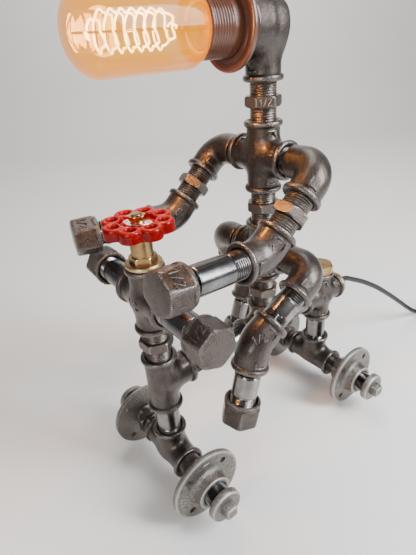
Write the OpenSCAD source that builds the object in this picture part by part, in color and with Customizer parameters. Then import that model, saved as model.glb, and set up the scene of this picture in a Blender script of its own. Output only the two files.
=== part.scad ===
// Desk lamp in the shape of a robot that rides a four-wheeled frame.
// It is screwed together from half-inch pipe fittings, with a lamp holder for a head.
// Millimetres. The robot faces -Y, its left side is +X, and the wheels stand on z = 0.

/* [Pipe and threads] */
// Outside diameter of the pipe
pipe_od = 21.3; // [20.5:0.1:22]
// Bore of nipples and fittings, which the leads run through
pipe_bore = 15; // [12:0.5:16]
// How far a thread's crest stands in from the outside of the pipe
thread_drop = 0.3; // [0.1:0.05:0.6]
// Radial clearance between an outside thread and its socket
thread_fit = 0.05; // [0.02:0.01:0.1]
// Length of thread screwed into a socket
thread_grip = 11; // [7:0.5:12]
// Bare thread that shows beside a socket
thread_show = 4; // [2:0.5:6]

/* [Fittings] */
// Wall of a fitting around its socket
fitting_wall = 2.8; // [2:0.1:4]
// How far the bead at an outlet stands out of the body
bead_rise = 2.1; // [1:0.1:3]
// Width of that bead
bead_width = 5.5; // [4:0.5:7]
// Depth of a socket
socket_depth = 13; // [12.5:0.5:14]
// Centre to face of a tee, cross or square elbow
outlet_reach = 28; // [27:0.5:34]
// Centre to face of a 45 degree elbow
bend45_reach = 22; // [22:0.5:28]
// Centre-line radius of a square elbow's bend
bend_radius = 16; // [15.5:0.5:18]
// How far the ball at a 45 degree elbow's corner stands out of the body
ball_rise = 0.6; // [0.3:0.1:1.5]
// Centre of a limb's elbow to the face of the cross that it is screwed into
street_reach = 30.5; // [28:0.5:36]

/* [Nipples and caps] */
// Width across flats of a hexagon nipple
hex_flats = 25; // [24:0.5:28]
// Length of its hexagon
hex_length = 8; // [6:0.5:10]
// Distance between two fittings on a hexagon nipple
hex_gap = 27; // [20:0.5:34]
// Distance between two fittings on a short plain nipple
short_gap = 27; // [20:0.5:34]
// Distance from an axle tee to its wheel
axle_gap = 22; // [16:0.5:28]
// Distance from the handlebar cross to its caps
handlebar_gap = 35; // [28:0.5:42]
// Distance from a forearm elbow to the hand
forearm_gap = 44.5; // [38:0.5:50]
// Distance from a knee elbow to the foot
shin_gap = 29; // [24:0.5:36]
// Distance between the frame tee and the seat tee
frame_gap = 64; // [56:0.5:80]
// Width across flats of a cap
cap_flats = 28.5; // [27.5:0.5:31]
// Length of a cap
cap_length = 22; // [20:0.5:28]
// Length of a cap's round collar
cap_collar = 5; // [4:0.5:8]

/* [Wheels] */
// Diameter of a wheel, which is a pipe flange
wheel_od = 66; // [60:1:76]
// Thickness of the flange
wheel_web = 5; // [3:0.5:6]
// Length of the flange and its hub
wheel_length = 16; // [14:0.5:18]
// Diameter of the hub
hub_od = 32; // [29:0.5:36]
// Diameter of the screw holes
wheel_hole = 6; // [4:0.5:7]
// Circle that the screw holes lie on
wheel_hole_circle = 50; // [47:1:52]
// Bare thread between a hub and its plug
plug_gap = 9; // [5:0.5:12]
// Diameter of the plug's bead
plug_bead = 29.5; // [26:0.5:32]
// Width of the plug's bead
plug_bead_width = 6.5; // [4:0.5:8]
// Width of the plug's square
plug_square = 11; // [9:0.5:15]
// Length of the plug's square
plug_square_length = 7; // [5:0.5:11]

/* [Handwheel] */
// Radius of the circle that the lobes lie on
lobe_circle = 18.6; // [17:0.2:21]
// Radius of a lobe
lobe_radius = 7.4; // [6.5:0.1:8]
// Radius of the window in a lobe
window_radius = 2.9; // [2:0.1:3.5]
// Height of the rim
rim_height = 8.5; // [6:0.5:11]
// Depth of the dish inside the rim
dish_depth = 3.5; // [2:0.5:5]
// Radius of the dish
dish_radius = 12.5; // [11:0.5:13]
// Diameter of the valve stem
stem_od = 8; // [6:0.5:9]
// Width of the stem nut across its flats
nut_flats = 11; // [10:0.5:13]
// Height of the stem nut
nut_height = 5.2; // [3:0.2:7]
// Diameter of the bonnet's flange
bonnet_flange = 28; // [26:0.5:31]
// Thickness of the bonnet's flange
bonnet_flange_height = 3.5; // [3:0.5:6]
// Width of the bonnet's hexagon across its flats
bonnet_hex = 18.4; // [18.2:0.2:24]
// Height of the bonnet's hexagon
bonnet_hex_height = 5.2; // [4:0.2:8]
// Diameter of the bonnet's neck
bonnet_neck = 17.6; // [14:0.2:17.8]
// Height of the bonnet's neck
bonnet_neck_height = 17.8; // [12:0.1:20]

/* [Head and lamp] */
// Centre of the head elbow above its lower face
head_rise = 36.5; // [34:0.5:42]
// Centre of the head elbow to its mouth
mouth_reach = 30.5; // [28:0.5:34]
// Radius of the head elbow's body at the corner
head_radius = 17.5; // [16:0.5:19]
// Radius of the mouth's socket
mouth_socket = 16.4; // [15.5:0.1:17]
// Wall of the mouth around its socket
mouth_wall = 3.7; // [3:0.1:5]
// Diameter of the lamp holder's threaded sleeve
sleeve_od = 38.6; // [37:0.2:42]
// Length of that sleeve beyond the mouth
sleeve_length = 29; // [26:0.5:34]
// Wall of the sleeve
sleeve_wall = 2.7; // [1.5:0.1:3]
// Diameter of the shade ring
ring_od = 57; // [50:0.5:64]
// Thickness of the shade ring
ring_height = 4.3; // [3:0.1:6]
// Outside diameter of the bulb's screw cap
bulb_cap_od = 26.4; // [26:0.1:26.6]
// Diameter of the bulb
bulb_od = 48; // [42:1:50]
// Length of the glass beyond the sleeve
bulb_length = 86.5; // [76:0.5:110]
// Wall of the glass
glass_wall = 0.9; // [0.6:0.1:1.2]
// Radius of the filament's coil
coil_radius = 11.5; // [8:0.5:14]
// Radius of the filament's wire
filament_wire = 0.45; // [0.3:0.05:0.7]

/* [Pose] */
// Left arm below the horizontal
near_arm_pitch = 40; // [30:1:44]
// Left forearm turned about the upper arm
near_arm_turn = -4; // [-10:1:4]
// Right arm below the horizontal
far_arm_pitch = 43; // [34:0.5:43.5]
// Right forearm turned about the upper arm
far_arm_turn = 19; // [8:1:24]
// Left leg below the horizontal
near_leg_pitch = 30; // [24:1:36]
// Right leg below the horizontal, past the vertical
far_leg_pitch = 116; // [110:1:120]

/* [Cord] */
// Diameter of the mains cord
cord_od = 6; // [5:0.5:7]
// Radius of the middle of the coil's turns
turn_radius = 33; // [30:1:36]
// Length of the sleeve where the cord enters the plug
plug_boot = 16; // [12:1:20]
// Length of the plug's body
plug_length = 34; // [28:1:40]
// Width of the plug's body
plug_width = 26; // [24:0.5:36]
// Height of the plug's body
plug_height = 13; // [11:0.5:16]
// Diameter of a pin
pin_od = 4; // [3.8:0.1:4.8]
// Length of a pin
pin_length = 19; // [17:0.5:19.5]
// Distance between the pins
pin_pitch = 19; // [17:0.1:19.2]
// Length of the strain relief beyond the gland
relief_length = 12; // [10:1:26]

/* [Hidden] */

$fn = 48;
iron = [0.23, 0.22, 0.22];
steel = [0.40, 0.40, 0.41];
zinc = [0.62, 0.62, 0.60];
brass = [0.75, 0.58, 0.28];
red = [0.78, 0.03, 0.06];
amber = [0.95, 0.62, 0.25, 0.4];
phenolic = [0.30, 0.17, 0.11];
black = [0.08, 0.08, 0.08];

// Radii that every screwed joint shares
pipe_r = pipe_od / 2;
bore_r = pipe_bore / 2;
thread_r = pipe_r - thread_drop;
socket_r = thread_r + thread_fit;
body_r = socket_r + fitting_wall;
bead_r = body_r + bead_rise;
seam = 0.5;               // overlap of two shapes that are joined into one solid

// Frame: axles, columns and the pipe between them
axle_z = wheel_od / 2;
frame_z = axle_z + 2 * outlet_reach + short_gap;
wheelbase = 4 * outlet_reach + frame_gap + short_gap;
front_y = -wheelbase / 2;
rear_y = wheelbase / 2;
seat_y = front_y + 2 * outlet_reach + frame_gap;
step_z = 2 * outlet_reach + hex_gap;      // from one cross to the next above it
hip_z = frame_z + step_z;
torso_z = hip_z + step_z;
neck_z = torso_z + outlet_reach + hex_gap;
head_z = neck_z + head_rise;
handlebar_z = frame_z + step_z;
bonnet_z = handlebar_z + outlet_reach;
wheel_x = outlet_reach + axle_gap;
limb_x = outlet_reach + street_reach;

// Directions that an outlet or a limb can point in, as turns of +Z
UP = [0, 0, 0];
DOWN = [180, 0, 0];
LEFT = [0, 90, 0];
RIGHT = [0, -90, 0];
FRONT = [90, 0, 0];
BACK = [-90, 0, 0];

// Lamp: distances along the lamp's own axis, from the head elbow's centre
rim_s = mouth_reach + sleeve_length;
sleeve_r = sleeve_od / 2;
sleeve_bore = sleeve_r - sleeve_wall;
part_fit = 0.05;          // radial clearance of lamp pieces that sit in each other
tail_length = 11;         // part of the holder inside the mouth
back_wall = 4.5;          // wall between the tail and the bulb's chamber
core_s = mouth_reach + back_wall;
core_floor = 3;
cap_r = bulb_cap_od / 2;
shell_wall = 0.45;
shell_bore = cap_r + part_fit;
shell_s = core_s + core_floor;
contact_height = 1.5;
cap_s = shell_s + contact_height;
neck_s = rim_s - 2.6;     // where the cap ends and the glass begins
neck_r = cap_r - 0.3;
throat_r = sleeve_bore - 1;   // where the glass leaves the sleeve
throat_s = rim_s + 0.4;
bulb_r = bulb_od / 2;
tip_s = rim_s + bulb_length;
dome_length = 18;
dome_s = tip_s - dome_length;
shoulder_length = 10;

// Handwheel: heights above the bonnet's seat
neck_top = bonnet_flange_height + bonnet_hex_height + bonnet_neck_height;
wheel_z = neck_top + 0.5;
stem_r = stem_od / 2;
dish_z = wheel_z + rim_height - dish_depth;
plate_height = 1.2;
nut_z = dish_z + plate_height;
stem_top = nut_z + nut_height + 1.2;
stem_foot = -thread_grip;
lobes = 8;

// Leads
lead_r = 2.4;
switch_r = bore_r - 0.4;
switch_height = 13;
switch_lead_r = 1.6;

// Gland and strain relief at the back of the rear cross
cord_r = cord_od / 2;
gland_height = 5;
gland_r = 13.4;
gland_bore = cord_r + 1.4;
relief_tip = 0.3;         // how much thicker than the cord the strain relief ends
relief_start = 10;        // inside the rear cross, from its face

// Route of the cord, from the strain relief to the coil and from the coil to the plug
coil_at = [63, 336];
CORD_ROUTE = [[0, 146.5, 116], [0.2, 150.5, 115.4], [0.6, 155, 113.7], [1.2, 160, 111.2],
    [2.2, 167, 107.6], [3.6, 174.5, 103.9], [5.2, 183, 99.2], [7.4, 192, 93.6], [9.8, 202, 87],
    [12, 212, 79.5], [14, 223, 70.8], [15.6, 234, 62], [17, 246, 52], [18.2, 258, 42],
    [19.2, 271, 31], [20, 285, 19.8], [20.6, 296, 12], [21, 306, 6.8], [21, 315, 4], [21, 323, 3]];
TAIL_ROUTE = [[105, 314, 8], [105, 307, 6], [105, 300, 4.2], [105, 293, 3.2], [105, 287, 3]];
plug_at = TAIL_ROUTE[4];

// ---------------------------------------------------------------- placing

module toward(direction) {
    rotate(direction) children();
}

module both_sides() {
    for (side = [LEFT, RIGHT]) toward(side) children();
}

module at_seat(z) {
    translate([0, seat_y, z]) children();
}

module at_front(z) {
    translate([0, front_y, z]) children();
}

module at_rear(z) {
    translate([0, rear_y, z]) children();
}

// A limb's first elbow: +Z runs out along the limb and +X stays the lamp's own +X
module at_limb(z, side, pitch) {
    translate([side * limb_x, seat_y, z]) rotate([90 + pitch, 0, 0]) children();
}

// The limb's second elbow, turned about the first stretch and bent by 45 degrees
module at_joint(gap, turn) {
    translate([0, 0, outlet_reach + gap + bend45_reach]) rotate([0, 0, turn]) children();
}

module past_bend(bend) {
    rotate([bend, 0, 0]) translate([0, 0, bend45_reach]) children();
}

module at_head() {
    at_seat(head_z) toward(FRONT) children();
}

// ---------------------------------------------------------------- fittings

// Half-round bead around an outlet that ends at z = reach
module bead(reach, radius = bead_r, width = bead_width) {
    translate([0, 0, reach - width]) rotate_extrude() {
        square([radius - width / 2, width]);
        translate([radius - width / 2, width / 2]) circle(d = width);
    }
}

module outlet(reach) {
    cylinder(h = reach, r = body_r);
    bead(reach);
}

module socket(reach, radius = socket_r) {
    translate([0, 0, reach - socket_depth]) cylinder(h = socket_depth + 1, r = radius);
    cylinder(h = reach, r = bore_r);
}

// Tee or cross: one outlet for each direction in the list
module branched(directions) {
    difference() {
        for (d = directions) toward(d) outlet(outlet_reach);
        for (d = directions) toward(d) socket(outlet_reach);
    }
}

// Square elbow with an outside thread: the female leg is +Z, the male leg points to -X * side
module street_elbow(side) {
    leg = outlet_reach - bend_radius;
    shank = street_reach - thread_show - bend_radius;
    turned = side > 0 ? 0 : 180;
    rotate([0, 0, turned]) difference() {
        union() {
            translate([0, 0, bend_radius]) {
                cylinder(h = leg, r = body_r);
                bead(leg);
            }
            corner(bend_radius, body_r);
            translate([-bend_radius, 0, 0]) toward(RIGHT) {
                cylinder(h = shank, r = body_r);
                translate([0, 0, shank]) cylinder(h = thread_show + thread_grip, r = thread_r);
            }
        }
        translate([0, 0, bend_radius]) {
            translate([0, 0, leg - socket_depth]) cylinder(h = socket_depth + 1, r = socket_r);
            cylinder(h = leg, r = bore_r);
        }
        corner(bend_radius, bore_r);
        translate([-bend_radius, 0, 0]) toward(RIGHT)
            cylinder(h = street_reach + thread_grip, r = bore_r);
    }
}

// Quarter ring that joins the end of a leg along +Z to the end of a leg along -X
module corner(radius, tube) {
    translate([-radius, 0, radius]) rotate([90, 0, 0]) rotate([0, 0, -90])
        rotate_extrude(angle = 90) translate([radius, 0]) circle(r = tube);
}

// 45 degree elbow about its centre: one leg to -Z, the other turned by bend from +Z about X
module elbow45(bend) {
    legs = [DOWN, [bend, 0, 0]];
    difference() {
        union() {
            for (leg = legs) toward(leg) outlet(bend45_reach);
            sphere(r = body_r + ball_rise);
        }
        for (leg = legs) toward(leg) socket(bend45_reach);
        sphere(r = bore_r + ball_rise);
    }
}

// Plain nipple from z = 0 to z = gap, with its threads beyond both ends
module plain_nipple(gap, bore = bore_r) {
    difference() {
        union() {
            translate([0, 0, -thread_grip]) cylinder(h = gap + 2 * thread_grip, r = thread_r);
            translate([0, 0, thread_show]) cylinder(h = gap - 2 * thread_show, r = pipe_r);
        }
        translate([0, 0, -thread_grip - 1]) cylinder(h = gap + 2 * thread_grip + 2, r = bore);
    }
}

// Hexagon with its ends turned off at the corners
module turned_hexagon(flats, height, turn = 0) {
    end_r = flats / 2 - 0.15;
    reach = flats / sqrt(3) + 1;
    chamfer = reach - end_r;
    intersection() {
        rotate([0, 0, turn]) cylinder(h = height, r = flats / sqrt(3), $fn = 6);
        rotate_extrude() polygon([[0, 0], [end_r, 0], [reach, chamfer],
            [reach, height - chamfer], [end_r, height], [0, height]]);
    }
}

module hex_nipple(gap, turn = 0) {
    difference() {
        union() {
            translate([0, 0, -thread_grip]) cylinder(h = gap + 2 * thread_grip, r = thread_r);
            translate([0, 0, (gap - hex_length) / 2]) turned_hexagon(hex_flats, hex_length, turn);
        }
        translate([0, 0, -thread_grip - 1]) cylinder(h = gap + 2 * thread_grip + 2, r = bore_r);
    }
}

// Cap whose open face is at z = 0
module hex_cap(turn = 0) {
    difference() {
        union() {
            bead(cap_collar, cap_flats / 2 + 0.9, cap_collar);
            translate([0, 0, cap_collar / 2]) turned_hexagon(cap_flats, cap_length - cap_collar / 2, turn);
        }
        translate([0, 0, -1]) cylinder(h = socket_depth + 1, r = socket_r);
    }
}

// Flange used as a wheel: back face at z = 0, hub towards +Z
module flange_wheel() {
    fillet = 3;
    difference() {
        rotate_extrude() {
            square([axle_z - wheel_web / 2, wheel_web]);
            translate([axle_z - wheel_web / 2, wheel_web / 2]) circle(d = wheel_web);
            polygon([[0, wheel_web - seam], [hub_od / 2 + fillet, wheel_web - seam],
                [hub_od / 2, wheel_web + fillet], [hub_od / 2 - 1, wheel_length - 1],
                [hub_od / 2 - 2, wheel_length], [0, wheel_length]]);
        }
        translate([0, 0, -1]) cylinder(h = wheel_length + 2, r = socket_r);
        for (a = [45:90:315])
            rotate([0, 0, a]) translate([wheel_hole_circle / 2, 0, -1])
                cylinder(h = wheel_web + 2, r = wheel_hole / 2);
    }
}

// Plug whose bead starts at z = 0
module beaded_plug() {
    shank = plug_gap + wheel_length - axle_grip;
    translate([0, 0, -shank + 1]) cylinder(h = shank, r = thread_r);
    bead(plug_bead_width, plug_bead / 2, plug_bead_width);
    translate([-plug_square / 2, -plug_square / 2, plug_bead_width - seam])
        cube([plug_square, plug_square, plug_square_length + seam]);
}

// Share of a wheel's bore that the axle nipple takes; the plug takes the rest
axle_grip = wheel_length / 2 - 1;

// ---------------------------------------------------------------- frame

module front_axle_tee() {
    color(iron) at_front(axle_z) branched([LEFT, RIGHT, UP]);
}

module rear_axle_tee() {
    color(iron) at_rear(axle_z) branched([LEFT, RIGHT, UP]);
}

module axle_nipples() {
    color(iron) for (y = [front_y, rear_y]) translate([0, y, axle_z]) both_sides()
        translate([0, 0, outlet_reach]) difference() {
            union() {
                translate([0, 0, -thread_grip])
                    cylinder(h = thread_grip + axle_gap + axle_grip, r = thread_r);
                translate([0, 0, axle_gap - hex_length - 6]) turned_hexagon(hex_flats, hex_length);
            }
            translate([0, 0, -thread_grip - 1])
                cylinder(h = thread_grip + axle_gap + axle_grip + 2, r = bore_r);
        }
}

module wheel_pair(y) {
    translate([0, y, axle_z]) both_sides() translate([0, 0, wheel_x]) flange_wheel();
}

module front_wheels() {
    color(zinc) wheel_pair(front_y);
}

module rear_wheels() {
    color(zinc) wheel_pair(rear_y);
}

module axle_plugs() {
    color(zinc) for (y = [front_y, rear_y]) translate([0, y, axle_z]) both_sides()
        translate([0, 0, wheel_x + wheel_length + plug_gap]) beaded_plug();
}

module frame_nipples() {
    color(steel) {
        at_front(axle_z + outlet_reach) plain_nipple(short_gap);
        at_rear(axle_z + outlet_reach) plain_nipple(short_gap);
        translate([0, seat_y + outlet_reach, frame_z]) toward(BACK) plain_nipple(short_gap);
    }
}

module frame_hex_nipples() {
    color(iron) {
        at_front(frame_z + outlet_reach) hex_nipple(hex_gap, 7);
        at_seat(frame_z + outlet_reach) hex_nipple(hex_gap, 10);
        at_seat(hip_z + outlet_reach) hex_nipple(hex_gap, 11);
        at_seat(torso_z + outlet_reach) hex_nipple(hex_gap, 54);
    }
}

module frame_tee() {
    color(iron) at_front(frame_z) branched([UP, DOWN, BACK]);
}

module handlebar_cross() {
    color(iron) at_front(handlebar_z) branched([UP, DOWN, LEFT, RIGHT]);
}

module handlebar_nipples() {
    color(steel) at_front(handlebar_z) both_sides()
        translate([0, 0, outlet_reach]) plain_nipple(handlebar_gap);
}

module handlebar_caps() {
    color(iron) at_front(handlebar_z) {
        toward(LEFT) translate([0, 0, outlet_reach + handlebar_gap]) hex_cap(8);
        toward(RIGHT) translate([0, 0, outlet_reach + handlebar_gap]) hex_cap(30);
    }
}

module frame_pipe() {
    color(steel) translate([0, front_y + outlet_reach, frame_z]) toward(BACK)
        plain_nipple(frame_gap);
}

module seat_tee() {
    color(iron) at_seat(frame_z) branched([UP, FRONT, BACK]);
}

module rear_cross() {
    color(iron) at_rear(frame_z) branched([UP, DOWN, FRONT, BACK]);
}

module brass_plug() {
    color(brass) at_rear(frame_z + outlet_reach) {
        translate([0, 0, -thread_grip]) cylinder(h = thread_grip + seam, r = thread_r);
        turned_hexagon(hex_flats, hex_length + 1, 20);
    }
}

module cord_gland() {
    color(brass) translate([0, rear_y + outlet_reach, frame_z]) toward(BACK) difference() {
        union() {
            translate([0, 0, -thread_grip]) cylinder(h = thread_grip + seam, r = thread_r);
            bead(gland_height, gland_r, gland_height);
        }
        translate([0, 0, -thread_grip - 1])
            cylinder(h = thread_grip + gland_height + 2, r = gland_bore);
    }
}

module cord_relief() {
    length = relief_start + gland_height + relief_length;
    color(black) translate([0, rear_y + outlet_reach - relief_start, frame_z]) toward(BACK) {
        cylinder(h = relief_start + gland_height, r = gland_bore - part_fit);
        translate([0, 0, relief_start + gland_height])
            cylinder(h = length - relief_start - gland_height, r1 = gland_bore - part_fit,
                r2 = cord_r + relief_tip);
    }
}

module hip_cross() {
    color(iron) at_seat(hip_z) branched([UP, DOWN, LEFT, RIGHT]);
}

module torso_cross() {
    color(iron) at_seat(torso_z) branched([UP, DOWN, LEFT, RIGHT]);
}

// Lead from the cord's strain relief through the seat and the body, up to the neck
module frame_lead() {
    back = rear_y + outlet_reach - relief_start;
    color(black) at_seat(frame_z) {
        cylinder(h = neck_z - frame_z, r = lead_r);
        sphere(r = lead_r);
        toward(BACK) cylinder(h = back - seat_y, r = lead_r);
    }
}

// Lead from the rotary switch down the front column and back through the frame pipe
module switch_lead() {
    top = handlebar_z + outlet_reach - thread_grip - switch_height;
    back = seat_y - lead_r - 0.3 - front_y;
    color(black) at_front(frame_z) {
        cylinder(h = top - frame_z, r = switch_lead_r);
        sphere(r = switch_lead_r);
        toward(BACK) cylinder(h = back, r = switch_lead_r);
    }
}

// ---------------------------------------------------------------- handwheel

module valve_bonnet() {
    hex_z = bonnet_flange_height;
    neck_z0 = hex_z + bonnet_hex_height;
    color(brass) at_front(bonnet_z) difference() {
        union() {
            translate([0, 0, -thread_grip]) cylinder(h = thread_grip + seam, r = thread_r);
            bead(bonnet_flange_height, bonnet_flange / 2, bonnet_flange_height);
            translate([0, 0, hex_z - seam])
                cylinder(h = bonnet_hex_height + seam, r = bonnet_hex / sqrt(3), $fn = 6);
            translate([0, 0, neck_z0 - seam]) cylinder(h = bonnet_neck_height + seam, r = bonnet_neck / 2);
        }
        translate([0, 0, -thread_grip - 1]) cylinder(h = thread_grip + neck_top + 2, r = stem_r + part_fit);
    }
}

module rotary_switch() {
    color(black) at_front(bonnet_z - thread_grip - switch_height)
        cylinder(h = switch_height, r = switch_r);
}

module handwheel() {
    color(red) at_front(bonnet_z + wheel_z) difference() {
        linear_extrude(rim_height) difference() {
            union() {
                circle(r = lobe_circle);
                for (i = [0:lobes - 1]) rotate(i * 360 / lobes)
                    translate([lobe_circle, 0]) circle(r = lobe_radius);
            }
            for (i = [0:lobes - 1]) rotate(i * 360 / lobes)
                translate([lobe_circle, 0]) circle(r = window_radius);
            circle(r = stem_r + part_fit);
        }
        translate([0, 0, rim_height - dish_depth]) cylinder(h = dish_depth + 1, r = dish_radius);
    }
}

module valve_stem() {
    color(brass) at_front(bonnet_z + stem_foot + 0.3)
        cylinder(h = stem_top - stem_foot - 0.3, r = stem_r);
}

module index_plate() {
    color(zinc) at_front(bonnet_z + dish_z) difference() {
        cylinder(h = plate_height, r = dish_radius - 2.5);
        translate([0, 0, -1]) cylinder(h = plate_height + 2, r = stem_r + part_fit);
    }
}

module stem_nut() {
    color(brass) at_front(bonnet_z + nut_z) difference() {
        turned_hexagon(nut_flats, nut_height, 15);
        translate([0, 0, -1]) cylinder(h = nut_height + 2, r = stem_r + part_fit);
    }
}

// ---------------------------------------------------------------- head

module head_elbow() {
    mouth_r = mouth_socket + mouth_wall;
    color(iron) at_seat(head_z) difference() {
        union() {
            toward(DOWN) {
                cylinder(h = head_rise, r = body_r);
                bead(head_rise);
                cylinder(h = head_rise / 2, r1 = head_radius - seam, r2 = body_r);
            }
            sphere(r = head_radius);
            toward(FRONT) {
                cylinder(h = mouth_reach, r1 = head_radius - seam, r2 = mouth_r);
                bead(mouth_reach, mouth_r + bead_rise, bead_width);
            }
        }
        toward(DOWN) socket(head_rise);
        sphere(r = bore_r + seam);
        toward(FRONT) {
            cylinder(h = mouth_reach, r = bore_r);
            translate([0, 0, mouth_reach - socket_depth]) cylinder(h = socket_depth + 1, r = mouth_socket);
        }
    }
}

module holder_sleeve() {
    color(phenolic) at_head() difference() {
        union() {
            translate([0, 0, mouth_reach - tail_length])
                cylinder(h = tail_length + seam, r = mouth_socket - part_fit);
            translate([0, 0, mouth_reach]) cylinder(h = sleeve_length, r = sleeve_r);
        }
        translate([0, 0, mouth_reach - tail_length - 1])
            cylinder(h = tail_length + 1, r = mouth_socket - 3);
        translate([0, 0, core_s]) cylinder(h = sleeve_length, r = sleeve_bore);
        translate([0, 0, mouth_reach - 1]) cylinder(h = back_wall + 2, r = lead_r + 1);
    }
}

module shade_ring() {
    color(phenolic) at_head() translate([0, 0, mouth_reach]) difference() {
        bead(ring_height, ring_od / 2, ring_height);
        translate([0, 0, -1]) cylinder(h = ring_height + 2, r = sleeve_r + part_fit);
    }
}

module socket_core() {
    color("ivory") at_head() translate([0, 0, core_s]) difference() {
        cylinder(h = neck_s - 0.6 - core_s, r = sleeve_bore - part_fit);
        translate([0, 0, core_floor]) cylinder(h = sleeve_length, r = shell_bore + shell_wall + part_fit);
        translate([0, 0, -1]) cylinder(h = core_floor + 2, r = lead_r + 1);
    }
}

module socket_shell() {
    color(brass) at_head() translate([0, 0, shell_s]) difference() {
        cylinder(h = neck_s - 1 - shell_s, r = shell_bore + shell_wall);
        translate([0, 0, contact_height - 0.7]) cylinder(h = sleeve_length, r = shell_bore);
        translate([0, 0, -1]) cylinder(h = 4, r = lead_r + part_fit);
    }
}

module bulb_cap() {
    tip_r = 4.6;
    cone = 4;
    color(brass) at_head() translate([0, 0, cap_s - 0.6]) {
        cylinder(h = cone, r1 = tip_r, r2 = cap_r);
        translate([0, 0, cone]) cylinder(h = neck_s - cap_s + 0.6 - cone, r = cap_r);
    }
}

// Half outline of the bulb, drawn in by inset: neck, shoulder, straight side and dome
arc_steps = 12;
function bulb_outline(inset) = concat([[neck_r - inset, neck_s]],
    [for (i = [0:arc_steps]) let(a = 90 * i / arc_steps)
        [throat_r + (bulb_r - throat_r) * sin(a) - inset, throat_s + shoulder_length * (1 - cos(a))]],
    [for (i = [0:arc_steps]) let(a = 90 * i / arc_steps)
        [max((bulb_r - inset) * cos(a), 0), dome_s + (dome_length - inset) * sin(a)]]);

module bulb_glass() {
    outer = bulb_outline(0);
    inner = bulb_outline(glass_wall);
    color(amber) at_head() rotate_extrude()
        polygon(concat(outer, [for (i = [len(inner) - 1:-1:0]) inner[i]]));
}

// Tube swept along a list of points, with a frame carried from ring to ring
function unit(v) = v / norm(v);
function heading(path, i) = unit(path[min(i + 1, len(path) - 1)] - path[max(i - 1, 0)]);
function across(h) = unit(cross(h, abs(h.z) > 0.9 ? [1, 0, 0] : [0, 0, 1]));

module tube(path, radius, sides) {
    count = len(path);
    points = [for (i = [0:count - 1]) let(h = heading(path, i), u = across(h), w = cross(h, u))
        for (k = [0:sides - 1]) let(a = 360 * k / sides)
            path[i] + radius * (cos(a) * u + sin(a) * w)];
    walls = [for (i = [0:count - 2]) for (k = [0:sides - 1]) let(n = (k + 1) % sides)
        [i * sides + k, (i + 1) * sides + k, (i + 1) * sides + n, i * sides + n]];
    first = [for (k = [0:sides - 1]) k];
    last = [for (k = [sides - 1:-1:0]) (count - 1) * sides + k];
    polyhedron(points, concat([first], walls, [last]), convexity = 10);
}

filament_turns = 7;
filament_start = rim_s + 14;
filament_end = tip_s - 13;
stem_end = filament_start - 3;
function filament_point(t) = let(a = 360 * filament_turns * t,
        r = coil_radius * min(1, 0.1 + 6 * t, 0.1 + 6 * (1 - t)))
    [r * cos(a), r * sin(a), filament_start + (filament_end - filament_start) * t];

// Glass stem with a centre wire, and the coiled filament around it
module bulb_filament() {
    steps = filament_turns * 12;
    color([1, 0.8, 0.4]) at_head() {
        translate([0, 0, neck_s]) cylinder(h = stem_end - neck_s, r1 = 5, r2 = 2.5);
        translate([0, 0, stem_end - seam]) cylinder(h = filament_end - stem_end + 1.5, r = 2 * filament_wire);
        tube([for (i = [0:steps]) filament_point(i / steps)], filament_wire, 6);
    }
}

module head_lead() {
    color(black) at_seat(head_z) {
        toward(DOWN) cylinder(h = head_rise - 0.3, r = lead_r);
        sphere(r = lead_r);
        toward(FRONT) cylinder(h = shell_s, r = lead_r);
    }
}

// ---------------------------------------------------------------- limbs

module limb_end(gap, bend, turn) {
    past_bend(bend) translate([0, 0, gap]) hex_cap(turn);
}

module near_shoulder_elbow() {
    color(iron) at_limb(torso_z, 1, near_arm_pitch) street_elbow(1);
}

module near_arm_nipple() {
    color(iron) at_limb(torso_z, 1, near_arm_pitch)
        translate([0, 0, outlet_reach]) hex_nipple(hex_gap, 53);
}

module near_forearm_elbow() {
    color(iron) at_limb(torso_z, 1, near_arm_pitch)
        at_joint(hex_gap, near_arm_turn) elbow45(-45);
}

module near_forearm_nipple() {
    color(steel) at_limb(torso_z, 1, near_arm_pitch)
        at_joint(hex_gap, near_arm_turn) past_bend(-45) plain_nipple(forearm_gap);
}

module near_hand_cap() {
    color(iron) at_limb(torso_z, 1, near_arm_pitch)
        at_joint(hex_gap, near_arm_turn) limb_end(forearm_gap, -45, 25);
}

module far_shoulder_elbow() {
    color(iron) at_limb(torso_z, -1, far_arm_pitch) street_elbow(-1);
}

module far_arm_nipple() {
    color(iron) at_limb(torso_z, -1, far_arm_pitch)
        translate([0, 0, outlet_reach]) hex_nipple(hex_gap, 15);
}

module far_forearm_elbow() {
    color(iron) at_limb(torso_z, -1, far_arm_pitch)
        at_joint(hex_gap, far_arm_turn) elbow45(-45);
}

module far_forearm_nipple() {
    color(steel) at_limb(torso_z, -1, far_arm_pitch)
        at_joint(hex_gap, far_arm_turn) past_bend(-45) plain_nipple(forearm_gap);
}

module far_hand_cap() {
    color(iron) at_limb(torso_z, -1, far_arm_pitch)
        at_joint(hex_gap, far_arm_turn) limb_end(forearm_gap, -45, 25);
}

module near_hip_elbow() {
    color(iron) at_limb(hip_z, 1, near_leg_pitch) street_elbow(1);
}

module near_thigh_nipple() {
    color(steel) at_limb(hip_z, 1, near_leg_pitch)
        translate([0, 0, outlet_reach]) plain_nipple(short_gap);
}

module near_knee_elbow() {
    color(iron) at_limb(hip_z, 1, near_leg_pitch) at_joint(short_gap, 0) elbow45(45);
}

module near_shin_nipple() {
    color(steel) at_limb(hip_z, 1, near_leg_pitch)
        at_joint(short_gap, 0) past_bend(45) plain_nipple(shin_gap);
}

module near_foot_cap() {
    color(iron) at_limb(hip_z, 1, near_leg_pitch)
        at_joint(short_gap, 0) limb_end(shin_gap, 45, 41);
}

module far_hip_elbow() {
    color(iron) at_limb(hip_z, -1, far_leg_pitch) street_elbow(-1);
}

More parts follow.
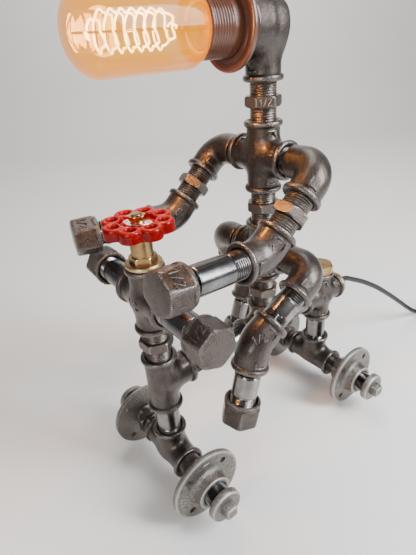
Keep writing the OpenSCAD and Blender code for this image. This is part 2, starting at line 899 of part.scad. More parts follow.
module far_thigh_nipple() {
    color(steel) at_limb(hip_z, -1, far_leg_pitch)
        translate([0, 0, outlet_reach]) plain_nipple(short_gap);
}

module far_knee_elbow() {
    color(iron) at_limb(hip_z, -1, far_leg_pitch) at_joint(short_gap, 0) elbow45(-45);
}

module far_shin_nipple() {
    color(steel) at_limb(hip_z, -1, far_leg_pitch)
        at_joint(short_gap, 0) past_bend(-45) plain_nipple(shin_gap);
}

module far_foot_cap() {
    color(iron) at_limb(hip_z, -1, far_leg_pitch)
        at_joint(short_gap, 0) limb_end(shin_gap, -45, 20);
}

// ---------------------------------------------------------------- cord

module cord_run() {
    color(black) {
        tube(CORD_ROUTE, cord_r, 10);
        tube(TAIL_ROUTE, cord_r, 10);
    }
}

// Four turns side by side, with as many on top of them
module cord_coil() {
    color(black) translate([coil_at.x, coil_at.y, 0]) difference() {
        cylinder(h = 2 * cord_od, r = turn_radius + 2 * cord_od);
        translate([0, 0, -1]) cylinder(h = 2 * cord_od + 2, r = turn_radius - 2 * cord_od);
    }
}

// Flat two-pin plug that lies on the table, with its pins towards -Y
module mains_plug() {
    color(black) translate([plug_at.x, plug_at.y, 0]) toward(FRONT) {
        translate([0, plug_at.z, 0]) cylinder(h = plug_boot, r = cord_r);
        translate([-plug_width / 2, 0, plug_boot]) cube([plug_width, plug_height, plug_length]);
        for (side = [-1, 1])
            translate([side * pin_pitch / 2, plug_height / 2, plug_boot + plug_length - seam])
                cylinder(h = pin_length + seam, r = pin_od / 2);
    }
}

front_axle_tee();
rear_axle_tee();
axle_nipples();
front_wheels();
rear_wheels();
axle_plugs();
frame_nipples();
frame_hex_nipples();
frame_tee();
handlebar_cross();
handlebar_nipples();
handlebar_caps();
valve_bonnet();
rotary_switch();
frame_pipe();
seat_tee();
rear_cross();
brass_plug();
cord_gland();
cord_relief();
hip_cross();
torso_cross();
frame_lead();
switch_lead();
handwheel();
valve_stem();
index_plate();
stem_nut();
head_elbow();
holder_sleeve();
shade_ring();
socket_core();
socket_shell();
bulb_cap();
bulb_glass();
bulb_filament();
head_lead();
near_shoulder_elbow();
near_arm_nipple();
near_forearm_elbow();
near_forearm_nipple();
near_hand_cap();
far_shoulder_elbow();
far_arm_nipple();
far_forearm_elbow();
far_forearm_nipple();
far_hand_cap();
near_hip_elbow();
near_thigh_nipple();
near_knee_elbow();
near_shin_nipple();
near_foot_cap();
far_hip_elbow();
far_thigh_nipple();
far_knee_elbow();
far_shin_nipple();
far_foot_cap();
cord_run();
cord_coil();
mains_plug();
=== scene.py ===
"""Desk lamp in the shape of a robot on a wheeled frame, screwed together from half-inch pipe fittings.

Shapes are worked out in millimetres and turned to metres where a mesh is made. Each fitting is
made in its own plain place, with its axis along +Z, and then carried to where it sits.
"""

import math

import bpy
import numpy as np
from mathutils import Matrix, Vector


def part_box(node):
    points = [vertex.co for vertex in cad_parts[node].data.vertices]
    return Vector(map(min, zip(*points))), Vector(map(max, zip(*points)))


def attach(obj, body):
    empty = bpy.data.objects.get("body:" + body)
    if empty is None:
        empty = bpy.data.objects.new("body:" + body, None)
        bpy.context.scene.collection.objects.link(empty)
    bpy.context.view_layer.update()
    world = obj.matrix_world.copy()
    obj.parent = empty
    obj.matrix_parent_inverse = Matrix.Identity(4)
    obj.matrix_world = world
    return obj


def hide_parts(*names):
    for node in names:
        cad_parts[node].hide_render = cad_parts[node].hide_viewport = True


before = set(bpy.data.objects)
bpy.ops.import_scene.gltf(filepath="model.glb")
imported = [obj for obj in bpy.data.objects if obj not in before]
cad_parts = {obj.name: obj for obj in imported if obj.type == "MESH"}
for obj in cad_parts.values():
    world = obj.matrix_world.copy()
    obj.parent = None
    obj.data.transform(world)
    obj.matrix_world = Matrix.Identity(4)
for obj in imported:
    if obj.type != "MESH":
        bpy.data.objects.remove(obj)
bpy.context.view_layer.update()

MM = 0.001

CAMERA_AT = Vector((0.24677, -0.22183, 0.36403))
LENS = 26.99

# ---------------------------------------------------------------- sizes, in millimetres

# Pipe, thread and sockets
PIPE_R = 10.65
BORE_R = 7.5
THREAD_R = 10.5
THREAD_DEPTH = 1.15
PITCH = 1.814
SOCKET_R = 10.9
SOCKET_DEPTH = 13

# How far a nipple's thread runs into an outlet: in this model, and in the frame's own nodes
GRIP = 4
THREAD_GRIP = 11

# Castings
BODY_R = 13.2
BAND_R = 15.3
BAND_WIDTH = 5.5
BAND_ROUND = 2.3
MOUTH_CHAMFER = 1.1
BEND45_REACH = 22
BEND_R = 16
STREET_REACH = 30.5
STREET_SHOW = 4
HEEL_R = 17.8

# Hexagons
HEX_FLATS = 25
HEX_LENGTH = 8
CAP_FLATS = 28.5
CAP_COLLAR = 5
CAP_DOME = 0.6
CAP_BEVEL = 1.7
COLLAR_R = 15.15

# Raised marks on the castings
MARK_HALF = 3.6
MARK_TOP = 7.4
MARK_FOOT = 12.5
MARK_WIDTH = 1.8
MARK_HEIGHT = 1.1

# Degrees between two faces, above which their edge is shaded sharp
SHARP_ANGLE = 34


def corners(node):
    """Lowest and highest corner of a node, in millimetres."""
    low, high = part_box(node)
    return np.array(low) / MM, np.array(high) / MM


def middle(node):
    """Middle of a node's box, in millimetres."""
    low, high = corners(node)
    return (low + high) / 2


# Places and gaps, read from the frame wherever a node's box gives them
OUTLET = corners("hip_cross")[1][0]
AXLE_Z = middle("front_wheels")[2]
FRONT_Y = middle("front_axle_tee")[1]
REAR_Y = middle("rear_axle_tee")[1]
SEAT_Y = middle("hip_cross")[1]
FRAME_Z = middle("rear_cross")[2]
HIP_Z = middle("hip_cross")[2]
TORSO_Z = middle("torso_cross")[2]
HANDLEBAR_Z = middle("handlebar_cross")[2]
HEAD_Z = middle("shade_ring")[2]
NECK_Z = corners("head_elbow")[0][2]
BONNET_Z = HANDLEBAR_Z + OUTLET
HEX_GAP = NECK_Z - TORSO_Z - OUTLET
SHORT_GAP = FRAME_Z - AXLE_Z - 2 * OUTLET
FRAME_GAP = SEAT_Y - FRONT_Y - 2 * OUTLET
FOREARM_GAP = 44.5
SHIN_GAP = 29
AXLE_SHOW = 22
BAR_GAP = corners("handlebar_nipples")[1][0] - THREAD_GRIP - OUTLET
CAP_LENGTH = corners("handlebar_caps")[1][0] - OUTLET - BAR_GAP
WHEEL_X = corners("front_axle_tee")[1][0] + AXLE_SHOW
WHEEL_R = middle("front_wheels")[2]
WHEEL_LENGTH = corners("front_wheels")[1][0] - WHEEL_X
LIMB_X = OUTLET + STREET_REACH

# Pose of the limbs at rest: pitch below the horizontal, turn of the far part, bend of its elbow
NEAR_ARM = dict(z=TORSO_Z, side=1, pitch=40, gap=HEX_GAP, turned=-4, bend=-45)
FAR_ARM = dict(z=TORSO_Z, side=-1, pitch=43, gap=HEX_GAP, turned=19, bend=-45)
NEAR_LEG = dict(z=HIP_Z, side=1, pitch=30, gap=SHORT_GAP, turned=0, bend=45)
FAR_LEG = dict(z=HIP_Z, side=-1, pitch=116, gap=SHORT_GAP, turned=0, bend=-45)


# ---------------------------------------------------------------- places


def shift(x=0.0, y=0.0, z=0.0):
    place = np.eye(4)
    place[:3, 3] = (x, y, z)
    return place


def turn(axis, degrees):
    return np.array(Matrix.Rotation(math.radians(degrees), 4, axis))


UP = np.eye(4)
DOWN = turn("X", 180)
LEFT = turn("Y", 90)
RIGHT = turn("Y", -90)
FRONT = turn("X", 90)
BACK = turn("X", -90)
SIDES = (LEFT, RIGHT)


def at_front(z):
    return shift(0, FRONT_Y, z)


def at_rear(z):
    return shift(0, REAR_Y, z)


def at_seat(z):
    return shift(0, SEAT_Y, z)


def limb_place(limb):
    """A limb's first elbow, with +Z out along the limb."""
    return shift(limb["side"] * LIMB_X, SEAT_Y, limb["z"]) @ turn("X", 90 + limb["pitch"])


def joint_place(limb):
    """The limb's second elbow, turned about the first stretch."""
    along = OUTLET + limb["gap"] + BEND45_REACH
    return limb_place(limb) @ shift(z=along) @ turn("Z", limb["turned"])


def end_place(limb):
    """The far face of the second elbow, with +Z out of it."""
    return joint_place(limb) @ turn("X", limb["bend"]) @ shift(z=BEND45_REACH)


# ---------------------------------------------------------------- shapes


class Shape:
    """Points in millimetres, lists of faces as rows of point numbers, and each point's wear, painted
    sheen and painted shade.
    """

    def __init__(self, points, faces, wear_sheen_shade=None):
        self.points = points
        self.faces = faces
        self.wear_sheen_shade = np.zeros(len(points)) if wear_sheen_shade is None else wear_sheen_shade

    def at(self, place):
        moved = self.points @ place[:3, :3].T + place[:3, 3]
        return Shape(moved, self.faces, self.wear_sheen_shade)

    def __add__(self, other):
        start = len(self.points)
        return Shape(
            np.vstack([self.points, other.points]),
            self.faces + [rows + start for rows in other.faces],
            np.concatenate([self.wear_sheen_shade, other.wear_sheen_shade]),
        )


def total(shapes):
    """All the shapes as one."""
    shapes = list(shapes)
    whole = shapes[0]
    for shape in shapes[1:]:
        whole = whole + shape
    return whole


def loft(rows, closed=False, wear_sheen_shade=None):
    """Skin over rows of points, each row a loop around the axis.

    A closed skin joins its last row to its first. Otherwise a fan about the middle of each end
    row closes it.
    """
    count, around = rows.shape[:2]
    index = np.arange(count * around).reshape(count, around)
    beside = np.roll(index, -1, axis=1)
    if closed:
        below, above = index, np.roll(index, -1, axis=0)
        below_beside, above_beside = beside, np.roll(beside, -1, axis=0)
    else:
        below, above, below_beside, above_beside = index[:-1], index[1:], beside[:-1], beside[1:]
    quads = np.stack([below, below_beside, above_beside, above], -1).reshape(-1, 4)
    points = rows.reshape(-1, 3)
    marks = np.zeros((count, around)) if wear_sheen_shade is None else np.broadcast_to(wear_sheen_shade, (count, around))
    if closed:
        return Shape(points, [quads], marks.ravel())
    hubs = rows[[0, -1]].mean(axis=1)
    first_hub = np.full(around, len(points))
    first = np.stack([beside[0], index[0], first_hub], -1)
    last = np.stack([index[-1], beside[-1], first_hub + 1], -1)
    ends = np.array([marks[0].mean(), marks[-1].mean()])
    return Shape(np.vstack([points, hubs]), [quads, np.vstack([first, last])],
                 np.concatenate([marks.ravel(), ends]))


def full_turn(around):
    """Angles of that many even steps around a circle, in radians."""
    return 2 * np.pi * np.arange(around) / around


def rings(outline, around=64):
    """Rows of points: each (radius, height) of an outline carried around the axis."""
    angle = full_turn(around)
    radius, height = outline[:, 0, None], outline[:, 1, None]
    return np.stack([radius * np.cos(angle), radius * np.sin(angle),
                     height + 0 * angle], -1)


def lathe(outline, closed=False, around=64, wear_sheen_shade=None):
    """Solid of revolution; its outline runs up the outside, and down the inside when closed."""
    outline = np.array(outline, float)
    marks = None if wear_sheen_shade is None else np.array(wear_sheen_shade, float)[:, None]
    return loft(rings(outline, around), closed, marks)


def arc(radius, height, size, start, end, steps):
    """Outline points on a circle of that size about (radius, height), from start to end degrees."""
    angle = np.radians(np.linspace(start, end, steps + 1))
    return [(radius + size * math.cos(a), height + size * math.sin(a)) for a in angle]


def band(radius=BAND_R, width=BAND_WIDTH, inner=SOCKET_R, soft=BAND_ROUND):
    """Rounded band around an outlet, whose face is at z = 0 and whose body lies below it.

    Its outline runs up the outside, over the rim and down the chamfered mouth.
    """
    lip = 2.0
    rise = [(inner + 0.6, -width - 1), (radius - soft - 0.2, -width + 0.1)]
    rise += arc(radius - soft, -width + soft + 0.5, soft, -80, 0, 6)
    rise += arc(radius - lip, -lip, lip, 0, 90, 6)
    mouth = [(inner + MOUTH_CHAMFER + 0.25, 0), (inner + MOUTH_CHAMFER, -0.12), (inner, -1.3),
             (inner, -width - 1)]
    outline = rise + mouth
    # Wear and painted sheen, highest over the band's rim
    wear_sheen_shade = [0] * 4 + [0.1, 0.3, 0.6, 0.8, 0.9, 1, 1, 1, 0.9, 0.8, 0.6] + [0.7, 0.5, 0.2]
    wear_sheen_shade += [0] * (len(outline) - len(wear_sheen_shade))
    return lathe(outline, closed=True, around=72, wear_sheen_shade=wear_sheen_shade)


def bend_line(reach_a, reach_b, degrees, radius):
    """Centre line of an elbow: it starts at z = -reach_a and turns from +Z towards +X.

    Gives a function from the distance along it to centres and to headings as angles, and its
    length. The straight legs are what the arc's tangents leave of the reaches.
    """
    whole = math.radians(degrees)
    tangent = radius * math.tan(whole / 2)
    straight = reach_a - tangent
    curve = radius * whole
    length = straight + curve + reach_b - tangent

    def at(s):
        s = np.asarray(s, float)
        heading = np.clip((s - straight) / radius, 0, whole)
        before = np.minimum(s - straight, 0)
        after = np.maximum(s - straight - curve, 0)
        x = radius * (1 - np.cos(heading)) + after * math.sin(whole)
        z = -tangent + radius * np.sin(heading) + before + after * math.cos(whole)
        return np.stack([x, 0 * x, z], -1), heading

    return at, length


def carried(line, stations, around=64):
    """Rows of points: circles of the stations' radii set square on a bend's centre line."""
    distance, radius = np.array(stations, float).T
    centre, heading = line(distance)
    across = np.stack([np.cos(heading), 0 * heading, -np.sin(heading)], -1)
    angle = full_turn(around)
    spoke = np.cos(angle)[None, :, None] * across[:, None, :]
    spoke = spoke + np.sin(angle)[None, :, None] * np.array([0.0, 1.0, 0.0])
    return centre[:, None, :] + radius[:, None, None] * spoke


def smooth(t):
    """0 below 0, 1 above 1, and between them 3 times the square less 2 times the cube."""
    t = np.clip(t, 0, 1)
    return t * t * (3 - 2 * t)


def elbow_body(line, length, swell):
    """Hollow bend between two outlets; the swell is added at its middle as half a sine wave."""
    hole = SOCKET_R + 0.5
    outside = np.linspace(2, length - 2, 34)
    radius = BODY_R + swell * np.sin(np.pi * (outside / length))
    inside = np.linspace(length - SOCKET_DEPTH, SOCKET_DEPTH, 14)
    stations = list(zip(outside, radius)) + [(length - 2, hole), (length - SOCKET_DEPTH, hole)]
    stations += [(s, BORE_R) for s in inside]
    stations += [(SOCKET_DEPTH, hole), (2, hole)]
    return loft(carried(line, stations), closed=True)


# Distances to simple solids, for the castings and the handwheel whose branches melt together


def rod(p, radius, start, end, soft):
    """Distance to a rod about +Z whose rims are rounded by soft."""
    out = np.hypot(p[..., 0], p[..., 1]) - radius + soft
    along = np.abs(p[..., 2] - (start + end) / 2) - (end - start) / 2 + soft
    outside = np.hypot(np.maximum(out, 0), np.maximum(along, 0))
    return outside + np.minimum(np.maximum(out, along), 0) - soft


def melt(a, b, reach):
    """Union of two distances with a fillet: the lesser one, less a parabola where they are close."""
    share = np.clip(0.5 + 0.5 * (b - a) / reach, 0, 1)
    return b + (a - b) * share - reach * share * (1 - share)


def carve(a, b, reach):
    """The first distance with the second cut out of it, the edge rounded."""
    return -melt(-a, b, reach)


def skin(field, low, high, step):
    """Closed surface where field is zero.

    Space is cut into cells of one step. Each cell that the surface crosses gets one point, which
    slides along the field's slope until it lies on the surface, and each edge between an inside
    and an outside corner gets a face through the four cells around it.
    """
    slides, least_slope = 6, 0.05
    ticks = [np.arange(a, b + step, step) for a, b in zip(low, high)]
    inside = field(np.stack(np.meshgrid(*ticks, indexing="ij"), -1)) < 0
    around = np.zeros([n - 1 for n in inside.shape], int)
    for i in (0, 1):
        for j in (0, 1):
            for k in (0, 1):
                around += inside[i:i + around.shape[0], j:j + around.shape[1], k:k + around.shape[2]]
    crossed = (around > 0) & (around < 8)
    number = np.full(around.shape, -1)
    number[crossed] = np.arange(crossed.sum())
    origin = np.array([t[0] for t in ticks])
    points = origin + (np.argwhere(crossed) + 0.5) * step
    small = 0.02 * step
    for _ in range(slides):
        value = field(points)
        slope = np.stack([field(points + small * unit) - value for unit in np.eye(3)], -1) / small
        points = points - (value / np.maximum((slope ** 2).sum(-1), least_slope))[:, None] * slope
    faces = []
    for axis in range(3):
        ahead = np.diff(inside.astype(int), axis=axis)
        cut = np.argwhere(ahead)
        cut = cut[(cut[:, (axis + 1) % 3] > 0) & (cut[:, (axis + 2) % 3] > 0)]
        leaving = ahead[tuple(cut.T)] < 0
        one, two = np.eye(3, dtype=int)[(axis + 1) % 3], np.eye(3, dtype=int)[(axis + 2) % 3]
        loop = [number[tuple((cut - back).T)] for back in (one + two, two, 0 * one, one)]
        quads = np.stack(loop, -1)
        quads[~leaving] = quads[~leaving][:, ::-1]
        faces.append(quads)
    return Shape(points, [np.vstack(faces)])


def branched(branches):
    """Casting with a run along both ways of Z and branches along the given ways of X."""
    ends = [UP, DOWN] + branches
    ways = [end[:3, :3] for end in ends]
    stop = OUTLET - BAND_WIDTH + 1.5
    inner_end, soft, fillet = -4, 0.8, 6.5

    def field(p):
        arms = [p @ way for way in ways]
        solid = [rod(arm, BODY_R, inner_end, stop, soft) for arm in arms]
        run = np.minimum(solid[0], solid[1])
        branch = solid[2] if len(solid) == 3 else np.minimum(solid[2], solid[3])
        return melt(run, branch, fillet)

    low = [-OUTLET if len(branches) == 2 else -BODY_R - 2, -BODY_R - 2.5, -OUTLET]
    body = skin(field, low, [OUTLET, BODY_R + 2.5, OUTLET], 1.0)
    return total([body] + [band().at(end @ shift(z=OUTLET)) for end in ends])


def slab(length, width, height):
    """Low bar on z = 0, rounded at its top edges: rounded rectangles stacked up."""
    soft = 0.35
    angle = np.radians(np.arange(0, 360, 30) + 15)
    corner_x, corner_y = np.sign(np.cos(angle)), np.sign(np.sin(angle))
    rows = []
    for inset, z in ((0, -1.2), (0, height - soft), (0.3 * soft, height - 0.3 * soft), (soft, height)):
        round_r = max(min(length, width) / 2 - inset, 0.05)
        x = corner_x * (length / 2 - min(length, width) / 2) + round_r * np.cos(angle)
        y = corner_y * (width / 2 - min(length, width) / 2) + round_r * np.sin(angle)
        rows.append(np.stack([x, y, z + 0 * x], -1))
    rows = np.array(rows)
    return loft(rows, wear_sheen_shade=np.array([[0], [0.4], [1], [0.8]]))


def stroke(start, end, width=1.2, height=0.8):
    """Raised bar from one point of a plane to another."""
    (x0, y0), (x1, y1) = start, end
    length = math.hypot(x1 - x0, y1 - y0) + width
    return slab(length, width, height).at(
        shift((x0 + x1) / 2, (y0 + y1) / 2) @ turn("Z", math.degrees(math.atan2(y1 - y0, x1 - x0))))


def half_sign(size=6.0, height=0.8):
    """The pipe size, one half, in raised strokes about the origin; it reads along +X."""
    w, h, line_width = size * 0.32, size / 2, size * 0.15
    lines = [((-2.1 * w, -h), (-2.1 * w, h)), ((-2.1 * w, h), (-2.8 * w, 0.5 * h)),
             ((-0.9 * w, -h), (0.5 * w, h)),
             ((1.1 * w, 0.7 * h), (1.9 * w, h)), ((1.9 * w, h), (2.7 * w, 0.6 * h)),
             ((2.7 * w, 0.6 * h), (1.1 * w, -h)), ((1.1 * w, -h), (2.8 * w, -h))]
    return total(stroke(a, b, line_width, height) for a, b in lines)


def wrapped(shape, radius):
    """Bends a flat shape around +Z: its x runs around, its y runs up and its z stands out."""
    x, y, z = shape.points.T
    angle = x / radius
    points = np.stack([(radius + z) * np.sin(angle), -(radius + z) * np.cos(angle), y], -1)
    return Shape(points, shape.faces, shape.wear_sheen_shade)


def facing(place):
    """Angle about a place's own +Z that looks at the camera, in degrees."""
    towards = place[:3, :3].T @ (np.array(CAMERA_AT) / MM - place[:3, 3])
    return math.degrees(math.atan2(towards[1], towards[0]))


def nearest_side(place, turned, offset):
    """Number of the hexagon's side that looks nearest to that angle from the camera's side."""
    return round((facing(place) + 90 + offset - turned) / 60)


def towards_camera(place, offset=0.0):
    """The place turned about its +Z so that its front looks at the camera, and on by the offset."""
    return place @ turn("Z", facing(place) + 90 + offset)


def band_mark(face, offset):
    """Raised angle beside the band of an outlet: a bar along the band and one down the body."""
    along = stroke((-MARK_HALF, -MARK_TOP), (MARK_HALF, -MARK_TOP), MARK_WIDTH, MARK_HEIGHT)
    down = stroke((MARK_HALF, -MARK_TOP), (MARK_HALF, -MARK_FOOT), MARK_WIDTH, MARK_HEIGHT)
    return wrapped(along + down, BODY_R).at(towards_camera(face, offset))


def face_sign(face, offset, down, spin, radius):
    """Raised pipe size, spun in its own plane, at that distance below an outlet's face."""
    sign = half_sign().at(shift(y=-down) @ turn("Z", spin))
    return wrapped(sign, radius).at(towards_camera(face, offset))


# Threads and nipples


def threaded(start, stop, thread_to, thread_from, crest=THREAD_R, core=PIPE_R, pitch=PITCH,
             depth=THREAD_DEPTH, around=56):
    """Rod from start to stop with a screw thread up to thread_to and again from thread_from.

    The radius is the crest less the depth times a rounded saw wave of height over pitch minus
    the share of a turn; it eases out to the plain core over a pitch and a half.
    """
    fine, run_out = pitch / 7, 1.5 * pitch
    low = np.arange(start, min(thread_to + run_out, stop), fine)
    high = np.arange(max(thread_from - run_out, low[-1] + fine), stop, fine)
    apart = len(high) and high[0] - low[-1] > 1
    plain = np.linspace(low[-1] + fine, high[0] - fine, 5) if apart else []
    height = np.concatenate([low, plain, high, [stop]])
    angle = full_turn(around)
    phase = height[:, None] / pitch - angle / (2 * np.pi)
    wave = (0.5 - 0.5 * np.cos(2 * np.pi * phase)) ** 0.8
    share = np.maximum(1 - smooth((height - thread_to) / run_out),
                       smooth((height - thread_from + run_out) / run_out))
    share = share[:, None]
    radius = core + (crest - core) * share - depth * share * wave
    rows = np.stack([radius * np.cos(angle), radius * np.sin(angle),
                     height[:, None] + 0 * angle], -1)
    # Wear and painted sheen on the thread's crests, painted shade in its grooves
    return loft(rows, wear_sheen_shade=share * (0.8 - 1.8 * wave))


def nipple(gap, start_thread, end_thread):
    """Plain nipple between two outlets that are gap apart, from z = 0."""
    return threaded(-GRIP, gap + GRIP, start_thread, gap - end_thread)


def hexagon(flats, height, turned, inner=THREAD_R - 0.8, slope=0.9, closed_top=False, corner=0.9):
    """Hexagon whose corners are rounded and whose ends are turned off.

    Each row is the rounded hexagon, drawn in wherever it stands out of a cone. The cone's radius
    is half the flats and the lead, plus the slope times the distance from the nearer end.
    """
    lead = 0.55
    tip = flats / math.sqrt(3)
    centre = tip - corner / math.cos(math.pi / 6)
    xy, wear_sheen_shade = [], []
    for k in range(6):
        a = math.radians(60 * k + turned)
        xy += [(centre * math.cos(a) + corner * math.cos(b),
                centre * math.sin(a) + corner * math.sin(b))
               for b in a + np.radians(np.linspace(-30, 30, 5))]
        wear_sheen_shade += [0.8, 1, 1, 1, 0.8]
        after = a + math.pi / 3
        end = np.array([centre * math.cos(a) + corner * math.cos(a + math.pi / 6),
                        centre * math.sin(a) + corner * math.sin(a + math.pi / 6)])
        start = np.array([centre * math.cos(after) + corner * math.cos(after - math.pi / 6),
                          centre * math.sin(after) + corner * math.sin(after - math.pi / 6)])
        for t in (0.05, 0.2, 0.35, 0.5, 0.65, 0.8, 0.95):
            xy.append(tuple(end + t * (start - end)))
            wear_sheen_shade.append(0.5 if t in (0.05, 0.95) else 0)
    xy, wear_sheen_shade = np.array(xy), np.array(wear_sheen_shade)
    reach = np.hypot(*xy.T)
    cone_height = (tip - flats / 2 - 0.5) / slope
    near = np.concatenate([[0, 0.12], np.linspace(0.3, cone_height, 9)])
    z = np.concatenate([near, [height / 2], height - near[::-1]])
    limit = flats / 2 + lead + slope * np.minimum(z, height - z)
    limit[[0, -1]] -= 0.15
    scale = np.minimum(reach, limit[:, None]) / reach
    heights = np.broadcast_to(z[:, None, None], scale.shape + (1,))
    rows = np.concatenate([xy * scale[..., None], heights], -1)
    # Wear and painted sheen on the corners and on the turned edge
    cut_edge = np.exp(-((reach - limit[:, None]) / 0.35) ** 2)
    marks = np.maximum(np.broadcast_to(wear_sheen_shade, scale.shape) * (limit[:, None] > reach), 0.9 * cut_edge)
    foot = np.concatenate([xy / reach[:, None] * inner, np.zeros((len(xy), 1))], -1)
    if not closed_top:
        head = foot + [0, 0, height]
        rows = np.concatenate([foot[None], rows, head[None]])
        marks = np.concatenate([0 * marks[:1], marks, 0 * marks[:1]])
        return loft(rows, closed=True, wear_sheen_shade=marks)
    unit_xy = xy / reach[:, None]
    crown = []
    for share in (0.92, 0.75, 0.5, 0.25):
        r = share * (flats / 2 - 0.5)
        crown.append(np.column_stack([unit_xy * r, np.full(len(xy), height)]))
    rows = np.concatenate([foot[None], rows, np.array(crown)])
    marks = np.concatenate([0 * marks[:1], marks, np.zeros((4, len(xy)))])
    return loft(rows, wear_sheen_shade=marks)


def hex_nipple(gap, turned):
    """Nipple with a hexagon at its middle, between two outlets that are gap apart, from z = 0."""
    thread = threaded(-GRIP, gap + GRIP, gap / 2, gap / 2, depth=0.6)
    return thread + hexagon(HEX_FLATS, HEX_LENGTH, turned).at(shift(z=gap / 2 - HEX_LENGTH / 2))


def six_sided(flats, corner, turned):
    """Hexagon with rounded corners as points around it, and how much wear and painted sheen its
    corners get.
    """
    centre = (flats / 2 - corner) / math.cos(math.pi / 6)
    points, wear_sheen_shade = [], []
    for k in range(6):
        a = math.radians(60 * k + turned)
        hub = centre * np.array([math.cos(a), math.sin(a)])
        turns = a + np.radians(np.linspace(-30, 30, 7))
        points += [hub + corner * np.array([math.cos(b), math.sin(b)]) for b in turns]
        wear_sheen_shade += [0.5, 0.8, 1, 1, 1, 0.8, 0.5]
        after = a + math.pi / 3
        side = centre * np.array([math.cos(after), math.sin(after)]) - hub
        points += [points[-1] + t * side for t in (0.15, 0.38, 0.62, 0.85)]
        wear_sheen_shade += [0.15, 0, 0, 0.15]
    return np.array(points), np.array(wear_sheen_shade)


def cap(turned):
    """Hexagon cap: round collar from z = 0 and a closed hexagon with a rounded end edge above it.

    The hexagon's corners grow rounder with the square of the height. The end edge is a quarter
    circle of insets, and the end face swells by the dome as a parabola. The collar's outline runs
    down the mouth, and then up the outside.
    """
    collar = [(SOCKET_R + 0.5, CAP_COLLAR - 1), (SOCKET_R + 0.5, 2.2), (SOCKET_R + 1.5, 0.4),
              (SOCKET_R + 1.7, 0)]
    collar += arc(COLLAR_R - 1.5, 1.5, 1.5, -90, 0, 5)
    collar += arc(COLLAR_R - 1.9, CAP_COLLAR - 1.9, 1.9, 0, 80, 6)
    collar += [(SOCKET_R + 0.5, CAP_COLLAR)]
    # Wear and painted sheen, highest on the collar's outer edge
    wear_sheen_shade = [0, 0, 0.2, 0.5] + [0.6, 0.9, 1, 1, 1, 0.8] + [0.8, 0.7, 0.5, 0.3, 0.2, 0.1, 0] + [0]
    ring = lathe(collar, closed=True, around=72, wear_sheen_shade=wear_sheen_shade)
    foot = CAP_COLLAR - 1.5
    heights = [foot, foot + 0.1] + list(np.linspace(foot + 2, CAP_LENGTH - CAP_BEVEL - 2, 7))
    insets = [CAP_FLATS / 2 - SOCKET_R, 0] + [0] * 7
    for a in np.radians(np.linspace(0, 90, 7)):
        heights.append(CAP_LENGTH - CAP_BEVEL * (1 - math.sin(a)) - CAP_DOME)
        insets.append(CAP_BEVEL * (1 - math.cos(a)))
    edges = [0] * 9 + [0.4, 0.8, 1, 1, 0.9, 0.6, 0.3]
    rows, marks = [], []
    for inset, z, edge in zip(insets, heights, edges):
        xy, corner_wear_sheen = six_sided(CAP_FLATS, 1.8 + 4.4 * (z / CAP_LENGTH) ** 2, turned)
        scale = 1 - inset / np.hypot(*xy.T)
        rows.append(np.column_stack([xy * scale[:, None], np.full(len(xy), z)]))
        marks.append(np.maximum(corner_wear_sheen * (edge < 0.5) * (len(rows) > 1), edge))
    last = rows[-1][:, :2]
    for share in (0.88, 0.66, 0.44, 0.22):
        height = CAP_LENGTH - CAP_DOME * share ** 2
        rows.append(np.column_stack([last * share, np.full(len(last), height)]))
        marks.append(np.zeros(len(last)))
    return ring + loft(np.array(rows), wear_sheen_shade=np.array(marks))


def cap_sign(turned, side):
    """Raised pipe size on one of the six sides of a cap."""
    sign = half_sign(6.4).at(turn("X", 90) @ turn("Z", 180))
    up = (CAP_LENGTH + CAP_COLLAR) / 2 - 1
    return sign.at(turn("Z", turned + 60 * side) @ shift(0, -CAP_FLATS / 2, up))


# ---------------------------------------------------------------- materials


class Value:
    """A socket of a material's nodes; arithmetic on it adds Math nodes."""

    def __init__(self, finish, socket):
        self.finish = finish
        self.socket = socket

    def math(self, operation, *others, flip=False):
        operands = [self, *others]
        if flip:
            operands.reverse()
        return self.finish.node("ShaderNodeMath", {"operation": operation}, dict(enumerate(operands)))

    def __add__(self, other):
        return self.math("ADD", other)

    def __sub__(self, other):
        return self.math("SUBTRACT", other)

    def __rsub__(self, other):
        return self.math("SUBTRACT", other, flip=True)

    def __mul__(self, other):
        return self.math("MULTIPLY", other)

    def __pow__(self, other):
        return self.math("POWER", other)

    def band(self, low, high):
        """0 below low, 1 above high, and a smooth step between."""
        settings = {"interpolation_type": "SMOOTHSTEP"}
        return self.finish.node("ShaderNodeMapRange", settings, {0: self, 1: low, 2: high})


